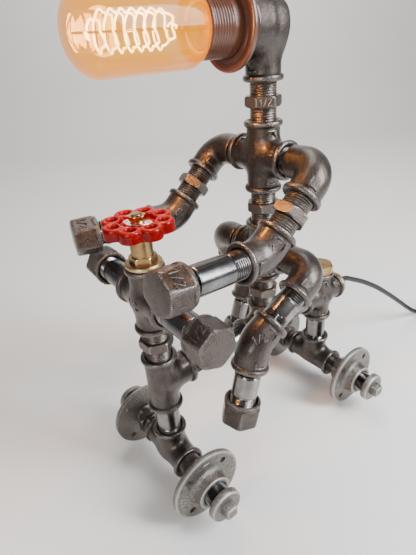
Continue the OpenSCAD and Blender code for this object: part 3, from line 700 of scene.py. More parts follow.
class Finish:
    """A material under construction around one Principled shader."""

    def __init__(self, name, **constants):
        self.material = bpy.data.materials.new(name)
        self.material.use_nodes = True
        self.tree = self.material.node_tree
        self.shader = self.tree.nodes["Principled BSDF"]
        for socket, value in constants.items():
            self.shader.inputs[socket.replace("_", " ")].default_value = value
        self.place = self.node("ShaderNodeTexCoord", output="Object")

    def node(self, kind, settings=None, sockets=None, output=0):
        """Adds a node, applies its settings, then fills its sockets with values or links."""
        made = self.tree.nodes.new(kind)
        for name, value in (settings or {}).items():
            setattr(made, name, value)
        for name, value in (sockets or {}).items():
            if isinstance(value, Value):
                self.tree.links.new(value.socket, made.inputs[name])
            else:
                made.inputs[name].default_value = value
        return Value(self, made.outputs[output])

    def noise(self, scale, detail, roughness):
        """Noise on the object's own place; scale is waves per metre."""
        sockets = {"Vector": self.place, "Scale": scale, "Detail": detail, "Roughness": roughness}
        return self.node("ShaderNodeTexNoise", {}, sockets)

    def mix(self, share, first, second):
        """Colour between two colours."""
        ends = {6: first, 7: second}
        for key, colour in ends.items():
            if not isinstance(colour, Value):
                ends[key] = (*colour, 1)
        return self.node("ShaderNodeMix", {"data_type": "RGBA"}, {0: share, **ends}, output=2)

    def attribute(self, name):
        """A number that each point of the mesh carries."""
        return self.node("ShaderNodeAttribute", {"attribute_name": name}, output="Fac")

    def wear_sheen_shade(self):
        """Above 0 for wear and painted sheen on edges, below 0 for painted shade in thread grooves."""
        return self.attribute("wear_sheen_shade")

    def groove(self):
        """1 in the groove of a thread and 0 elsewhere."""
        return (self.wear_sheen_shade() * -1).band(0.05, 0.85)

    def feed(self, socket, value):
        self.tree.links.new(value.socket, self.shader.inputs[socket])

    def bump(self, height, strength, distance):
        """Bump of that height in metres."""
        sockets = {"Height": height, "Strength": strength, "Distance": distance}
        self.feed("Normal", self.node("ShaderNodeBump", {}, sockets))


def cast_finish(name, dark, light, grain, rough, wear_sheen_share, groove_shade_share=0.85):
    """Oiled malleable iron: mottled by wide noise, pitted by fine noise, edges paler by wear and
    painted sheen.
    """
    finish = Finish(name, Metallic=0.9, Coat_Weight=0.4, Coat_Roughness=0.2)
    mottle = finish.noise(80, 4, 0.6)
    smear = finish.noise(260, 3, 0.6)
    pits = finish.noise(1200, 2, 0.6)
    tone = finish.mix((mottle * 0.4 + pits * 0.6).band(0.35, 0.65), dark, light)
    tone = finish.mix(smear.band(0.5, 0.8) * 0.3, tone, (0.11, 0.07, 0.05))
    # Painted highlight mixed with wear: rubbed edges, rims and thread crests go towards pale grey
    bright = (finish.wear_sheen_shade() * (smear * 0.8 + 0.5)).band(0.35, 1.1)
    tone = finish.mix(bright * wear_sheen_share, tone, (0.50, 0.47, 0.44))
    # Painted shade: thread grooves go towards near black
    tone = finish.mix(finish.groove() * groove_shade_share, tone, (0.014, 0.013, 0.012))
    finish.feed("Base Color", tone)
    finish.feed("Roughness", (mottle * 0.14 + (rough - 0.08)) - bright * 0.08 + (pits - 0.5) * 0.2)
    finish.bump(pits * 1.6 + smear, min(1.0, 0.6 * grain), 0.0004 * grain)
    return finish.material


def steel_finish(name, dark, light):
    """Drawn steel pipe: smooth, with wide cloudy patches of scale."""
    finish = Finish(name, Metallic=1.0)
    scale = finish.noise(60, 3, 0.6)
    fine = finish.noise(900, 3, 0.6)
    tone = finish.mix(scale.band(0.35, 0.7), dark, light)
    # Painted highlight mixed with wear: pale on thread crests and rims
    tone = finish.mix(finish.wear_sheen_shade().band(0.2, 1) * 0.5, tone, (0.42, 0.40, 0.39))
    # Painted shade: near black in thread grooves
    tone = finish.mix(finish.groove() * 0.85, tone, (0.012, 0.012, 0.013))
    finish.feed("Base Color", tone)
    finish.feed("Roughness", scale * 0.14 + fine * 0.08 + 0.13)
    finish.bump(fine + scale, 0.2, 0.0001)
    return finish.material


def zinc_finish():
    """Flanges and plugs: bare grainy iron gone grey, brown in patches, rims pale by wear and painted
    sheen.
    """
    finish = Finish("zinc_flange", Metallic=0.9)
    spots = finish.noise(700, 4, 0.65)
    pits = finish.noise(1200, 3, 0.6)
    patch = finish.noise(45, 2, 0.5)
    tone = finish.mix(spots.band(0.35, 0.65), (0.11, 0.10, 0.09), (0.26, 0.245, 0.225))
    tone = finish.mix(patch.band(0.5, 0.72) * 0.4, tone, (0.13, 0.08, 0.05))
    # Painted highlight mixed with wear: pale on the rims and edges
    tone = finish.mix(finish.wear_sheen_shade().band(0.4, 1) * 0.6, tone, (0.55, 0.53, 0.49))
    tone = finish.mix(finish.groove() * 0.85, tone, (0.085, 0.045, 0.026))
    finish.feed("Base Color", tone)
    finish.feed("Roughness", spots * 0.22 + pits * 0.15 + 0.16)
    finish.bump(pits + spots * 1.5, 0.9, 0.0004)
    return finish.material


def brass_finish(name, dark, light, rough=0.3):
    """Brass gone dull, darker in its patches, brighter on edges by wear and painted sheen."""
    finish = Finish(name, Metallic=1.0)
    patch = finish.noise(120, 4, 0.65)
    fine = finish.noise(1200, 2, 0.5)
    tone = finish.mix(patch.band(0.3, 0.72), dark, light)
    # Painted highlight mixed with wear: paler brass on edges and thread crests
    tone = finish.mix(finish.wear_sheen_shade().band(0.2, 1) * 0.5, tone, (0.85, 0.66, 0.38))
    # Painted shade: dark brown in thread grooves
    tone = finish.mix(finish.groove(), tone, (0.05, 0.03, 0.012))
    finish.feed("Base Color", tone)
    finish.feed("Roughness", patch * 0.2 + fine * 0.1 + (rough - 0.12))
    finish.bump(fine + patch, 0.35, 0.00015)
    return finish.material


def enamel_finish():
    """Red enamel over a casting: glossy, slightly uneven, darker where it pools."""
    finish = Finish("red_enamel", Coat_Weight=0.25, Coat_Roughness=0.05, Specular_IOR_Level=0.1)
    ripple = finish.noise(220, 3, 0.55)
    tone = finish.mix(ripple.band(0.3, 0.75), (0.16, 0.0, 0.0), (0.24, 0.0, 0.001))
    finish.feed("Base Color", tone)
    finish.feed("Roughness", ripple * 0.15 + 0.3)
    finish.bump(ripple, 0.4, 0.0006)
    return finish.material


def phenolic_finish():
    """Dark reddish brown moulding, glossy, with a fine haze."""
    finish = Finish("phenolic", Coat_Weight=0.4, Coat_Roughness=0.15)
    haze = finish.noise(90, 3, 0.6)
    fine = finish.noise(900, 2, 0.5)
    finish.feed("Base Color", finish.mix(haze, (0.075, 0.024, 0.012), (0.12, 0.042, 0.022)))
    finish.feed("Roughness", haze * 0.15 + fine * 0.08 + 0.22)
    finish.bump(fine, 0.15, 0.0001)
    return finish.material


def rubber_finish(name, tone, lighter, rough):
    """Rubber or moulded plastic, matt, with a slight haze."""
    finish = Finish(name)
    haze = finish.noise(140, 3, 0.6)
    fine = finish.noise(1600, 2, 0.5)
    finish.feed("Base Color", finish.mix(haze, tone, lighter))
    finish.feed("Roughness", haze * 0.15 + fine * 0.1 + (rough - 0.1))
    finish.bump(fine, 0.25, 0.00015)
    return finish.material


def glass_finish():
    """Amber glass lit from inside.

    The glow attribute is 1 beside the filament, and the ring attribute is 1 where the glass
    leaves the holder, where a painted glint is laid as a bright orange band. The middle of the
    bulb glows and its edges are a thicker, duller amber.
    """
    finish = Finish("amber_glass", Roughness=0.03, IOR=1.45, Specular_IOR_Level=0.2,
                    Emission_Strength=1.6)
    glow, ring = finish.attribute("glow"), finish.attribute("ring")
    cloud = finish.noise(110, 4, 0.65)
    rim = finish.node("ShaderNodeLayerWeight", {}, {"Blend": 0.35}, output="Facing")
    heart = glow * (1 - rim.band(0.15, 0.95)) * (cloud * 0.7 + 0.65)
    base = finish.mix(glow, (0.0004, 0.0002, 0.0001), (0.0006, 0.0002, 0.0001))
    finish.feed("Base Color", base)
    tone = finish.mix(rim, (0.56, 0.18, 0.0), (0.56, 0.22, 0.02))
    tone = finish.mix(heart.band(0.0, 0.8), tone, (1.0, 0.31, 0.0))
    tone = finish.mix(heart.band(0.75, 1.25), tone, (1.0, 0.46, 0.0))
    # Painted glint: a narrow bright orange band of glow where the glass leaves the holder
    tone = finish.mix(ring, tone, (1.0, 0.16, 0.0))
    finish.feed("Emission Color", tone)
    finish.feed("Alpha", (rim ** 3) * 0.35 + 0.25 + heart * 0.5 + ring * 0.6)
    return finish.material


def filament_finish():
    """White hot wire, a little redder in its cooler stretches."""
    finish = Finish("filament", Emission_Strength=25.0)
    heat = finish.noise(300, 2, 0.5)
    finish.feed("Base Color", finish.mix(heat, (0.02, 0.01, 0.003), (0.03, 0.015, 0.005)))
    finish.feed("Emission Color", finish.mix(heat, (1.0, 0.50, 0.12), (1.0, 0.68, 0.28)))
    return finish.material


def stem_finish():
    """Glass stem inside the bulb, with the filament's light on it painted as a golden glow."""
    finish = Finish("stem_glass", Roughness=0.1, Specular_IOR_Level=0.1, Emission_Strength=1.6)
    sparkle = finish.noise(420, 3, 0.6)
    base = finish.mix(sparkle, (0.0006, 0.0003, 0.0001), (0.001, 0.0005, 0.0001))
    finish.feed("Base Color", base)
    # Painted light: the filament's glow on the stem, with painted sparkles
    light = finish.mix(sparkle.band(0.4, 0.65), (0.45, 0.06, 0.0), (1.0, 0.34, 0.0))
    finish.feed("Emission Color", light)
    return finish.material


def porcelain_finish():
    """Glazed ceramic, with the lamp's orange light painted into its colour."""
    finish = Finish("porcelain", Coat_Weight=0.5, Coat_Roughness=0.08)
    haze = finish.noise(120, 3, 0.6)
    # Painted light: an orange tint from the lamp
    finish.feed("Base Color", finish.mix(haze, (0.36, 0.20, 0.08), (0.46, 0.28, 0.13)))
    finish.feed("Roughness", haze * 0.12 + 0.2)
    return finish.material


CAST = cast_finish("malleable_iron", (0.032, 0.025, 0.021), (0.090, 0.074, 0.065),
                   grain=1.0, rough=0.33, wear_sheen_share=0.15)
CAPS = cast_finish("cap_iron", (0.026, 0.018, 0.014), (0.100, 0.076, 0.062),
                   grain=2.2, rough=0.36, wear_sheen_share=0.2)
HEX = cast_finish("hex_steel", (0.065, 0.052, 0.044), (0.14, 0.115, 0.098),
                  grain=0.9, rough=0.36, wear_sheen_share=0.4, groove_shade_share=0.25)
STEEL = steel_finish("pipe_steel", (0.18, 0.17, 0.165), (0.31, 0.295, 0.285))
DARK_STEEL = steel_finish("pipe_steel_dark", (0.11, 0.108, 0.112), (0.21, 0.205, 0.205))
ZINC = zinc_finish()
BRASS = brass_finish("brass", (0.25, 0.155, 0.068), (0.44, 0.285, 0.13))
BRIGHT = brass_finish("bright_steel", (0.72, 0.71, 0.69), (0.92, 0.91, 0.88), 0.26)
LAMP_BRASS = brass_finish("lamp_brass", (0.30, 0.11, 0.012), (0.48, 0.20, 0.03))
NUT_BRASS = brass_finish("nut_brass", (0.45, 0.29, 0.11), (0.70, 0.48, 0.20), 0.24)
ENAMEL = enamel_finish()
PHENOLIC = phenolic_finish()
RUBBER = rubber_finish("cord_rubber", (0.008, 0.008, 0.009), (0.02, 0.02, 0.021), 0.4)
LEAD = rubber_finish("lead_rubber", (0.02, 0.02, 0.022), (0.05, 0.05, 0.05), 0.6)
TIE = rubber_finish("coil_tie", (0.03, 0.03, 0.03), (0.07, 0.07, 0.07), 0.35)
SWITCH = rubber_finish("switch_body", (0.02, 0.018, 0.016), (0.05, 0.045, 0.04), 0.45)
GLASS = glass_finish()
GLOWING = filament_finish()
STEM_GLASS = stem_finish()
PORCELAIN = porcelain_finish()


# ---------------------------------------------------------------- making pieces


def new_object(name, shape, sharp=SHARP_ANGLE, layers=None):
    """Smooth shaded mesh object of a shape, sharp where its faces meet at more than that angle."""
    mesh = bpy.data.meshes.new(name)
    points = (shape.points * MM).astype(np.float32)
    loops = np.concatenate([rows.ravel() for rows in shape.faces]).astype(np.int32)
    sizes = np.concatenate([np.full(len(rows), rows.shape[1]) for rows in shape.faces])
    starts = (np.cumsum(sizes) - sizes).astype(np.int32)
    mesh.vertices.add(len(points))
    mesh.vertices.foreach_set("co", points.ravel())
    mesh.loops.add(len(loops))
    mesh.loops.foreach_set("vertex_index", loops)
    mesh.polygons.add(len(sizes))
    mesh.polygons.foreach_set("loop_start", starts)
    mesh.update(calc_edges=True)
    mesh.validate()
    for layer, values in {"wear_sheen_shade": shape.wear_sheen_shade, **(layers or {})}.items():
        attribute = mesh.attributes.new(layer, "FLOAT", "POINT")
        attribute.data.foreach_set("value", values.astype(np.float32))
    mesh.shade_smooth()
    mesh.set_sharp_from_angle(angle=math.radians(sharp))
    made = bpy.data.objects.new(name, mesh)
    bpy.context.scene.collection.objects.link(made)
    return made


def piece(name, shape, material, body, nodes=(), sharp=SHARP_ANGLE, layers=None):
    """Mesh object of a shape, that rides on a body and stands for the given nodes."""
    made = new_object(name, shape, sharp, layers)
    made.data.materials.append(material)
    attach(made, body)
    if nodes:
        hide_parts(*nodes)
    return made


def cad_finish(node, material):
    """Gives a node that stays its material."""
    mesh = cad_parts[node].data
    mesh.materials.clear()
    mesh.materials.append(material)


# ---------------------------------------------------------------- camera and light


def make_camera():
    """Camera placed by its own right, up and backward directions."""
    data = bpy.data.cameras.new("camera")
    data.lens = LENS
    data.clip_start = 0.01
    camera = bpy.data.objects.new("camera", data)
    back = Vector((0.70962, -0.50721, 0.48905))
    right = Vector((0.60988, 0.78975, -0.06588))
    up = Vector((-0.35282, 0.34501, 0.86976))
    heading = Matrix((right, up, back)).transposed().to_4x4()
    camera.matrix_world = Matrix.Translation(CAMERA_AT) @ heading
    bpy.context.scene.collection.objects.link(camera)
    bpy.context.scene.camera = camera


def area_light(name, at, towards, size, power, colour):
    """Rectangular light of that many watts."""
    data = bpy.data.lights.new(name, "AREA")
    data.shape = "RECTANGLE"
    data.size, data.size_y = size
    data.energy = power
    data.color = colour
    light = bpy.data.objects.new(name, data)
    heading = Vector(towards) - Vector(at)
    light.matrix_world = Matrix.Translation(at) @ heading.to_track_quat("-Z", "Y").to_matrix().to_4x4()
    bpy.context.scene.collection.objects.link(light)


def make_studio():
    """Pale room: a tall cool window to the right, soft light from the front and from above.

    One light washes the wall beyond the lamp, and one inside the bulb is the lamp's own glow.
    """
    lamp = (0, 0, 0.2)
    glow_reach = 103
    world = bpy.data.worlds.new("studio")
    bpy.context.scene.world = world
    world.use_nodes = True
    room = world.node_tree.nodes["Background"].inputs
    room["Color"].default_value = (0.90, 0.88, 0.87, 1)
    room["Strength"].default_value = 0.25
    area_light("window", (0.75, 0.45, 0.75), lamp, (0.32, 0.8), 26, (0.93, 0.96, 1.0))
    area_light("front_fill", (0.45, -0.9, 0.55), lamp, (0.35, 0.6), 6, (1.0, 0.98, 0.96))
    area_light("top", (-0.3, 0.2, 1.1), lamp, (0.6, 0.6), 7, (1.0, 0.97, 0.93))
    area_light("wall_wash", (-0.5, 0.4, 1.5), (-1.8, 1.3, 0.9), (1.5, 0.8), 28, (1.0, 0.975, 0.95))
    data = bpy.data.lights.new("bulb_glow", "POINT")
    data.energy = 7.0
    data.color = (1.0, 0.38, 0.08)
    data.shadow_soft_size = 0.014
    glow = bpy.data.objects.new("bulb_glow", data)
    glow.location = (0, (SEAT_Y - glow_reach) * MM, HEAD_Z * MM)
    bpy.context.scene.collection.objects.link(glow)


def make_floor():
    """Pale table top that curves up into a wall beyond the lamp.

    Its profile runs level away from the camera, turns up on a quarter circle and goes on
    upwards; it is carried sideways in a straight line.
    """
    nearest, reach, rise, bend_r, half_width = -2500.0, 1400.0, 2200.0, 700.0, 4000.0
    below = 0.05
    upwards = np.array([0.0, 0.0, 1.0])
    away = np.array([-0.8135, 0.5815, 0.0])
    turns = np.radians(np.linspace(0, 90, 25))
    out = np.concatenate([[nearest, 0.0], reach + bend_r * np.sin(turns), [reach + bend_r]])
    height = np.concatenate([[0.0, 0.0], bend_r * (1 - np.cos(turns)), [rise]]) - below
    side = np.linspace(half_width, -half_width, 9)
    across = np.cross(away, upwards)
    points = (out[:, None, None] * away + height[:, None, None] * upwards
              + side[None, :, None] * across)
    index = np.arange(points.shape[0] * points.shape[1]).reshape(points.shape[:2])
    quads = np.stack([index[:-1, :-1], index[1:, :-1], index[1:, 1:], index[:-1, 1:]], -1)
    finish = Finish("table_top", Coat_Weight=0.1, Coat_Roughness=0.25)
    haze = finish.noise(3, 3, 0.5)
    finish.feed("Base Color", finish.mix(haze, (0.80, 0.775, 0.755), (0.85, 0.825, 0.805)))
    finish.feed("Roughness", haze * 0.1 + 0.42)
    mesh = bpy.data.meshes.new("table_top")
    mesh.from_pydata((points.reshape(-1, 3) * MM).tolist(), [], quads.reshape(-1, 4).tolist())
    mesh.shade_smooth()
    mesh.materials.append(finish.material)
    floor = bpy.data.objects.new("table_top", mesh)
    bpy.context.scene.collection.objects.link(floor)


make_camera()
make_studio()
make_floor()

# ---------------------------------------------------------------- cord

CORD_R = 3
COIL_AT = (63, 336)
CORD_ROUTE = [(0, 146.5, 116), (0.2, 150.5, 115.4), (0.6, 155, 113.7), (1.2, 160, 111.2),
              (2.2, 167, 107.6), (3.6, 174.5, 103.9), (5.2, 183, 99.2), (7.4, 192, 93.6),
              (9.8, 202, 87), (12, 212, 79.5), (14, 223, 70.8), (15.6, 234, 62), (17, 246, 52),
              (18.2, 258, 42), (19.2, 271, 31), (20, 285, 19.8), (20.6, 296, 12), (21, 306, 6.8),
              (21, 315, 4), (21, 323, 3)]
TAIL_ROUTE = [(105, 314, 8), (105, 307, 6), (105, 300, 4.2), (105, 293, 3.2), (105, 287, 3)]
COIL_TURNS = 7.5
TURN_POINTS = 30
LANES = np.array([42, 36, 30, 24, 24, 30, 36, 42, 42])
LANE_HEIGHTS = np.array([3, 3, 3, 3, 9, 9, 9, 9, 9])
LANE_CHANGE = 1 / 6


def coil_line():
    """Turns of the coil: a circle that changes lane by a smooth step at the end of each turn."""
    turns = np.arange(int(COIL_TURNS * TURN_POINTS) + 1) / TURN_POINTS
    whole = np.floor(turns + 1e-9)
    lane = whole + smooth((turns - whole - 1 + LANE_CHANGE) / LANE_CHANGE)
    lanes = np.arange(len(LANES))
    radius, height = np.interp(lane, lanes, LANES), np.interp(lane, lanes, LANE_HEIGHTS)
    angle = np.pi - 2 * np.pi * turns
    x, y = COIL_AT[0] + radius * np.cos(angle), COIL_AT[1] + radius * np.sin(angle)
    return np.stack([x, y, height], -1)


def eased(route, step):
    """Points about one step apart on a smooth curve through the route's points.

    Each stretch is a cubic whose end slopes are half the way between its neighbours.
    """
    route = np.array(route, float)
    held = np.vstack([2 * route[0] - route[1], route, 2 * route[-1] - route[-2]])
    points = []
    for before, start, end, after in zip(held, held[1:], held[2:], held[3:]):
        count = max(2, int(np.linalg.norm(end - start) / step) + 1)
        t = (np.arange(count) / count)[:, None]
        slope_in, slope_out = (end - before) / 2, (after - start) / 2
        points.append((2 * t ** 3 - 3 * t ** 2 + 1) * start + (t ** 3 - 2 * t ** 2 + t) * slope_in
                      + (3 * t ** 2 - 2 * t ** 3) * end + (t ** 3 - t ** 2) * slope_out)
    points.append(route[-1:])
    return np.vstack(points)


def tube(line, radius, around=14):
    """Round tube along a line of points, its rings square to the line and level with the table."""
    heading = np.gradient(line, axis=0)
    heading /= np.linalg.norm(heading, axis=1, keepdims=True)
    side = np.cross(heading, [0.0, 0.0, 1.0])
    side /= np.linalg.norm(side, axis=1, keepdims=True)
    lift = np.cross(side, heading)
    angle = full_turn(around)
    spokes = (np.cos(angle)[None, :, None] * lift[:, None, :]
              + np.sin(angle)[None, :, None] * side[:, None, :])
    return loft(line[:, None, :] + radius * spokes)


def make_cord():
    """Mains cord, its coil, the coil's tie, the strain relief and the plug."""
    line = np.vstack([eased(CORD_ROUTE, 4)[:-1], [CORD_ROUTE[-1]], coil_line(), TAIL_ROUTE])
    attached = make_plug() + [make_relief(), make_tie()]
    cord = piece("cord", tube(line, CORD_R), RUBBER, "frame", ["cord_run", "cord_coil"],
                 60)


def make_relief():
    """Sleeve where the cord leaves the gland: it tapers and has shallow ribs around it.

    The taper is a smooth step, and the ribs are the square of a sine wave.
    """
    low, high = corners("cord_relief")
    start, end = low[1], high[1]
    length = end - start
    base_r, end_r = 4.35, CORD_R + 0.3
    taper_from = 15
    ribs_from, rib_width, rib_count, rib_depth = 16, 1.6, 5.0, 0.25
    z = np.linspace(0, length, 60)
    taper = base_r + (end_r - base_r) * smooth((z - taper_from) / (length - taper_from))
    ribs = rib_depth * np.sin(np.pi * np.clip((z - ribs_from) / rib_width, 0, rib_count)) ** 2
    outline = np.stack([taper - ribs, z], -1)
    shape = lathe(outline, around=32).at(shift(0, start, FRAME_Z) @ BACK)
    return piece("strain_relief", shape, RUBBER, "frame", ["cord_relief"], 50)


def make_plug():
    """Flat two-pin plug: a waisted body of stacked rounded sections, and two round-nosed pins.

    Its sections are drawn for a body 50 long, and then stretched to the body's own length. Half
    widths grow from the cord's end to the body by a smooth step, less a bell curve at the waist.
    """
    low, high = corners("mains_plug")
    at_x = (low[0] + high[0]) / 2
    half_width, height = (high[0] - low[0]) / 2, high[2]
    pin_length, pin_side = 19, 9.5
    cord_end, drawn = 3.15, 50
    body_end = high[1] - low[1] - pin_length
    z = np.array([0, 0.4, 3, 6, 9, 12, 14, 16, 17.5, 20, 24, 29, 34, 40, 45, 48, 49.4, 50.0])
    share = smooth((z - 11) / 9)
    waist = 1.2 * np.exp(-((z - 33) / 7) ** 2)
    wide = cord_end + (half_width - 0.2 - cord_end) * share - waist
    tall = cord_end + (height / 2 - cord_end) * share
    inset = np.where(z > 48.5, (z - 48.5) * 0.9, 0) + np.where(z < 0.2, 0.3, 0)
    angle = full_turn(40)
    power = (1 - 0.55 * share)[:, None]
    x = (wide - inset)[:, None] * np.sign(np.cos(angle)) * np.abs(np.cos(angle)) ** power
    y = (tall - inset)[:, None] * np.sign(np.sin(angle)) * np.abs(np.sin(angle)) ** power
    rows = np.stack([x, y + tall[:, None], (z * body_end / drawn)[:, None] + 0 * x], -1)
    place = shift(at_x, high[1], 0) @ FRONT
    shape = loft(rows).at(place)
    parts = [piece("plug", shape, RUBBER, "frame", ["mains_plug"], 40)]
    pin = [(2, 0), (2, pin_length - 1.5)] + arc(0.5, pin_length - 1.5, 1.5, 0, 80, 4)
    for side, name in ((-pin_side, "plug_pin_left"), (pin_side, "plug_pin_right")):
        shape = lathe(pin, around=24).at(place @ shift(side, height / 2, body_end - 0.2))
        parts.append(piece(name, shape, BRIGHT, "frame", ()))
    return parts


def make_tie():
    """Flat tie around the coil's turns: a ribbon on a rounded rectangle, its ends twisted together."""
    inner, outer = LANES.min() - CORD_R - 0.3, LANES.max() + CORD_R + 0.3
    foot, top, soft = 0.3, LANE_HEIGHTS.max() + CORD_R + 0.3, 2.6
    angle = np.radians(np.arange(0, 360, 7.5))
    cos, sin = np.cos(angle), np.sin(angle)
    across = (inner + outer) / 2 + np.sign(cos) * ((outer - inner) / 2 - soft) + soft * cos
    height = (foot + top) / 2 + np.sign(sin) * ((top - foot) / 2 - soft) + soft * sin
    out = np.stack([cos, 0 * angle, sin], -1)
    centre = np.stack([across, 0 * angle, height], -1)
    wide = np.array([(-0.25, -1.9), (0.0, -2.2), (0.25, -1.9), (0.25, 1.9), (0.0, 2.2), (-0.25, 1.9)])
    rows = centre[:, None, :] + wide[None, :, :1] * out[:, None, :]
    rows = rows + wide[None, :, 1:] * np.array([0.0, 1.0, 0.0])
    ribbon = loft(rows, closed=True)
    t = np.linspace(0, 1, 60)
    ends = []
    for start in (0, np.pi):
        spin = start + 5 * np.pi * t
        line = np.stack([0.8 * np.cos(spin) + 6 * t, 2 + 15 * t, top + 1.2 + 0.8 * np.sin(spin)], -1)
        ends.append(tube(line + [(inner + outer) / 2, 0, 0], 0.65, 8))
    shape = (ribbon + total(ends)).at(shift(*COIL_AT) @ turn("Z", 150))
    return piece("coil_tie", shape, TIE, "frame", (), 50)


make_cord()

# ---------------------------------------------------------------- frame castings


def make_castings():
    """Tees and crosses of the frame, the hips and the chest."""
    tee = branched([LEFT])
    cross = branched([LEFT, RIGHT])
    sideways = turn("Y", -90)
    along = turn("Z", 90)
    piece("front_axle_tee_body", tee.at(at_front(AXLE_Z) @ sideways), CAST, "frame",
          ["front_axle_tee"])
    piece("rear_axle_tee_body", tee.at(at_rear(AXLE_Z) @ sideways), CAST, "frame",
          ["rear_axle_tee"])
    piece("front_column_tee", tee.at(at_front(FRAME_Z) @ along), CAST, "frame",
          ["frame_tee"])
    piece("seat_tee_body", tee.at(at_seat(FRAME_Z) @ along @ sideways), CAST, "frame",
          ["seat_tee"])
    crosses = {"rear_cross": ("rear_cross_body", at_rear(FRAME_Z) @ along),
               "handlebar_cross": ("handlebar_cross_body", at_front(HANDLEBAR_Z)),
               "hip_cross": ("hip_cross_body", at_seat(HIP_Z)),
               "torso_cross": ("chest_cross_body", at_seat(TORSO_Z))}
    for node, (name, place) in crosses.items():
        shape = cross.at(place) + cross_marks(place)
        piece(name, shape, CAST, "frame", [node])


def cross_marks(place):
    """Raised size on both cheeks, an angle beside each band, and a fin at the top corner."""
    cheek = half_sign(6.5, 0.8).at(shift(z=BODY_R + 0.9))
    marks = [cheek.at(place @ FRONT), cheek.at(place @ turn("Z", 180) @ FRONT)]
    for end, offset in ((UP, 28), (LEFT, -20), (DOWN, -30), (RIGHT, 35)):
        marks.append(band_mark(place @ end @ shift(z=OUTLET), offset))
    fin = stroke((-1.5, -9), (2.5, -15), 2.0, 1.6)
    top = place @ shift(z=OUTLET)
    marks.append(wrapped(fin, BODY_R).at(towards_camera(top, 45)))
    return total(marks)


make_castings()


def make_nipples():
    """Nipples of the frame, the handlebar and the robot's body."""
    neck_turn = 54
    plain = nipple(SHORT_GAP, 1, 1)
    shape = total([plain.at(at_front(AXLE_Z + OUTLET)), plain.at(at_rear(AXLE_Z + OUTLET)),
                   nipple(SHORT_GAP, 5, 5).at(shift(0, SEAT_Y + OUTLET, FRAME_Z) @ BACK)])
    piece("column_nipples", shape, STEEL, "frame", ["frame_nipples"])
    long_pipe = nipple(FRAME_GAP, 6, 6).at(shift(0, FRONT_Y + OUTLET, FRAME_Z) @ BACK)
    piece("long_frame_pipe", long_pipe, DARK_STEEL, "frame", ["frame_pipe"])
    bars = total(nipple(BAR_GAP, 3, 3).at(at_front(HANDLEBAR_Z) @ side @ shift(z=OUTLET))
                 for side in SIDES)
    piece("handlebar_pipes", bars, DARK_STEEL, "frame", ["handlebar_nipples"])
    columns = [(at_front(FRAME_Z), 7), (at_seat(FRAME_Z), 10), (at_seat(HIP_Z), 11),
               (at_seat(TORSO_Z), neck_turn)]
    shape = total(hex_nipple(HEX_GAP, turned).at(place @ shift(z=OUTLET)) for place, turned in columns)
    sign = half_sign(5.0, 0.55).at(turn("X", 90))
    shape = shape + sign.at(at_seat(TORSO_Z + OUTLET + HEX_GAP / 2) @ turn("Z", neck_turn)
                            @ shift(0, -HEX_FLATS / 2, 0))
    piece("hexagon_nipples", shape, HEX, "frame", ["frame_hex_nipples"])


def make_handlebar_caps():
    """Caps on both ends of the handlebar; the near one bears the pipe size."""
    near_turn, far_turn = 8, 30
    near_bar, far_bar = [at_front(HANDLEBAR_Z) @ side for side in SIDES]
    sign = cap_sign(near_turn, nearest_side(near_bar, near_turn, 0))
    caps = total([(cap(near_turn) + sign).at(near_bar @ shift(z=OUTLET + BAR_GAP)),
                  cap(far_turn).at(far_bar @ shift(z=OUTLET + BAR_GAP))])
    piece("handlebar_end_caps", caps, CAPS, "frame", ["handlebar_caps"])


make_nipples()
make_handlebar_caps()

# ---------------------------------------------------------------- wheels

AXLE_GAP = WHEEL_X - OUTLET
WEB = 5
HUB_R = 16
HOLE_R = 3
HOLE_CIRCLE_R = 25
HOLE_ANGLES = (45, 135, 225, 315)
PLUG_GAP = 9
PLUG_R = 14.75
PLUG_WIDTH = 6.5
SQUARE = 11
SQUARE_LENGTH = 7


def flange():
    """Flange with its back at z = 0: a disc, a fillet of 4 mm and a tapered hub, bored through."""
    rim, fillet, lip = 0.7, 4, 1.4
    outline = [(SOCKET_R, WHEEL_LENGTH - 1.2), (SOCKET_R, 0)]
    outline += arc(WHEEL_R - rim, rim, rim, -90, 0, 3)
    outline += arc(WHEEL_R - rim, WEB - rim, rim, 0, 90, 4)
    outline += [(WHEEL_R - 4, WEB), (HUB_R + 6.5, WEB)]
    outline += arc(HUB_R + fillet, WEB + fillet, fillet, -90, -172, 7)
    outline += [(HUB_R - 0.6, WHEEL_LENGTH - 3)]
    outline += arc(HUB_R - 2, WHEEL_LENGTH - lip, lip, 0, 90, 4)
    outline += [(SOCKET_R + 1.3, WHEEL_LENGTH)]
    # Wear and painted sheen, highest on the rim
    wear_sheen_shade = [0, 0] + [0.3] * 4 + [0.9, 1, 1, 1, 0.9] + [0.1, 0]
    wear_sheen_shade += [0.1] * 9 + [0.6, 0.9, 1, 0.9, 0.7] + [0.4]
    return lathe(outline, closed=True, around=96, wear_sheen_shade=wear_sheen_shade)


def drill_holes(disc, places):
    """Cuts four screw holes at each place with one cutter of 24-sided rods, and deletes it."""
    rod_through = lathe([(HOLE_R, -1), (HOLE_R, WEB + 1)], around=24)
    holes = total(rod_through.at(place @ turn("Z", angle) @ shift(x=HOLE_CIRCLE_R))
                  for place in places for angle in HOLE_ANGLES)
    cutter = new_object("hole_cutter", holes)
    cut = disc.modifiers.new("holes", "BOOLEAN")
    cut.operation = "DIFFERENCE"
    cut.solver = "EXACT"
    cut.object = cutter
    bpy.context.view_layer.update()
    evaluated = disc.evaluated_get(bpy.context.evaluated_depsgraph_get())
    drilled = bpy.data.meshes.new_from_object(evaluated)
    disc.modifiers.clear()
    old, disc.data = disc.data, drilled
    bpy.data.meshes.remove(old)
    bpy.data.objects.remove(cutter)
    disc.data.set_sharp_from_angle(angle=math.radians(SHARP_ANGLE))


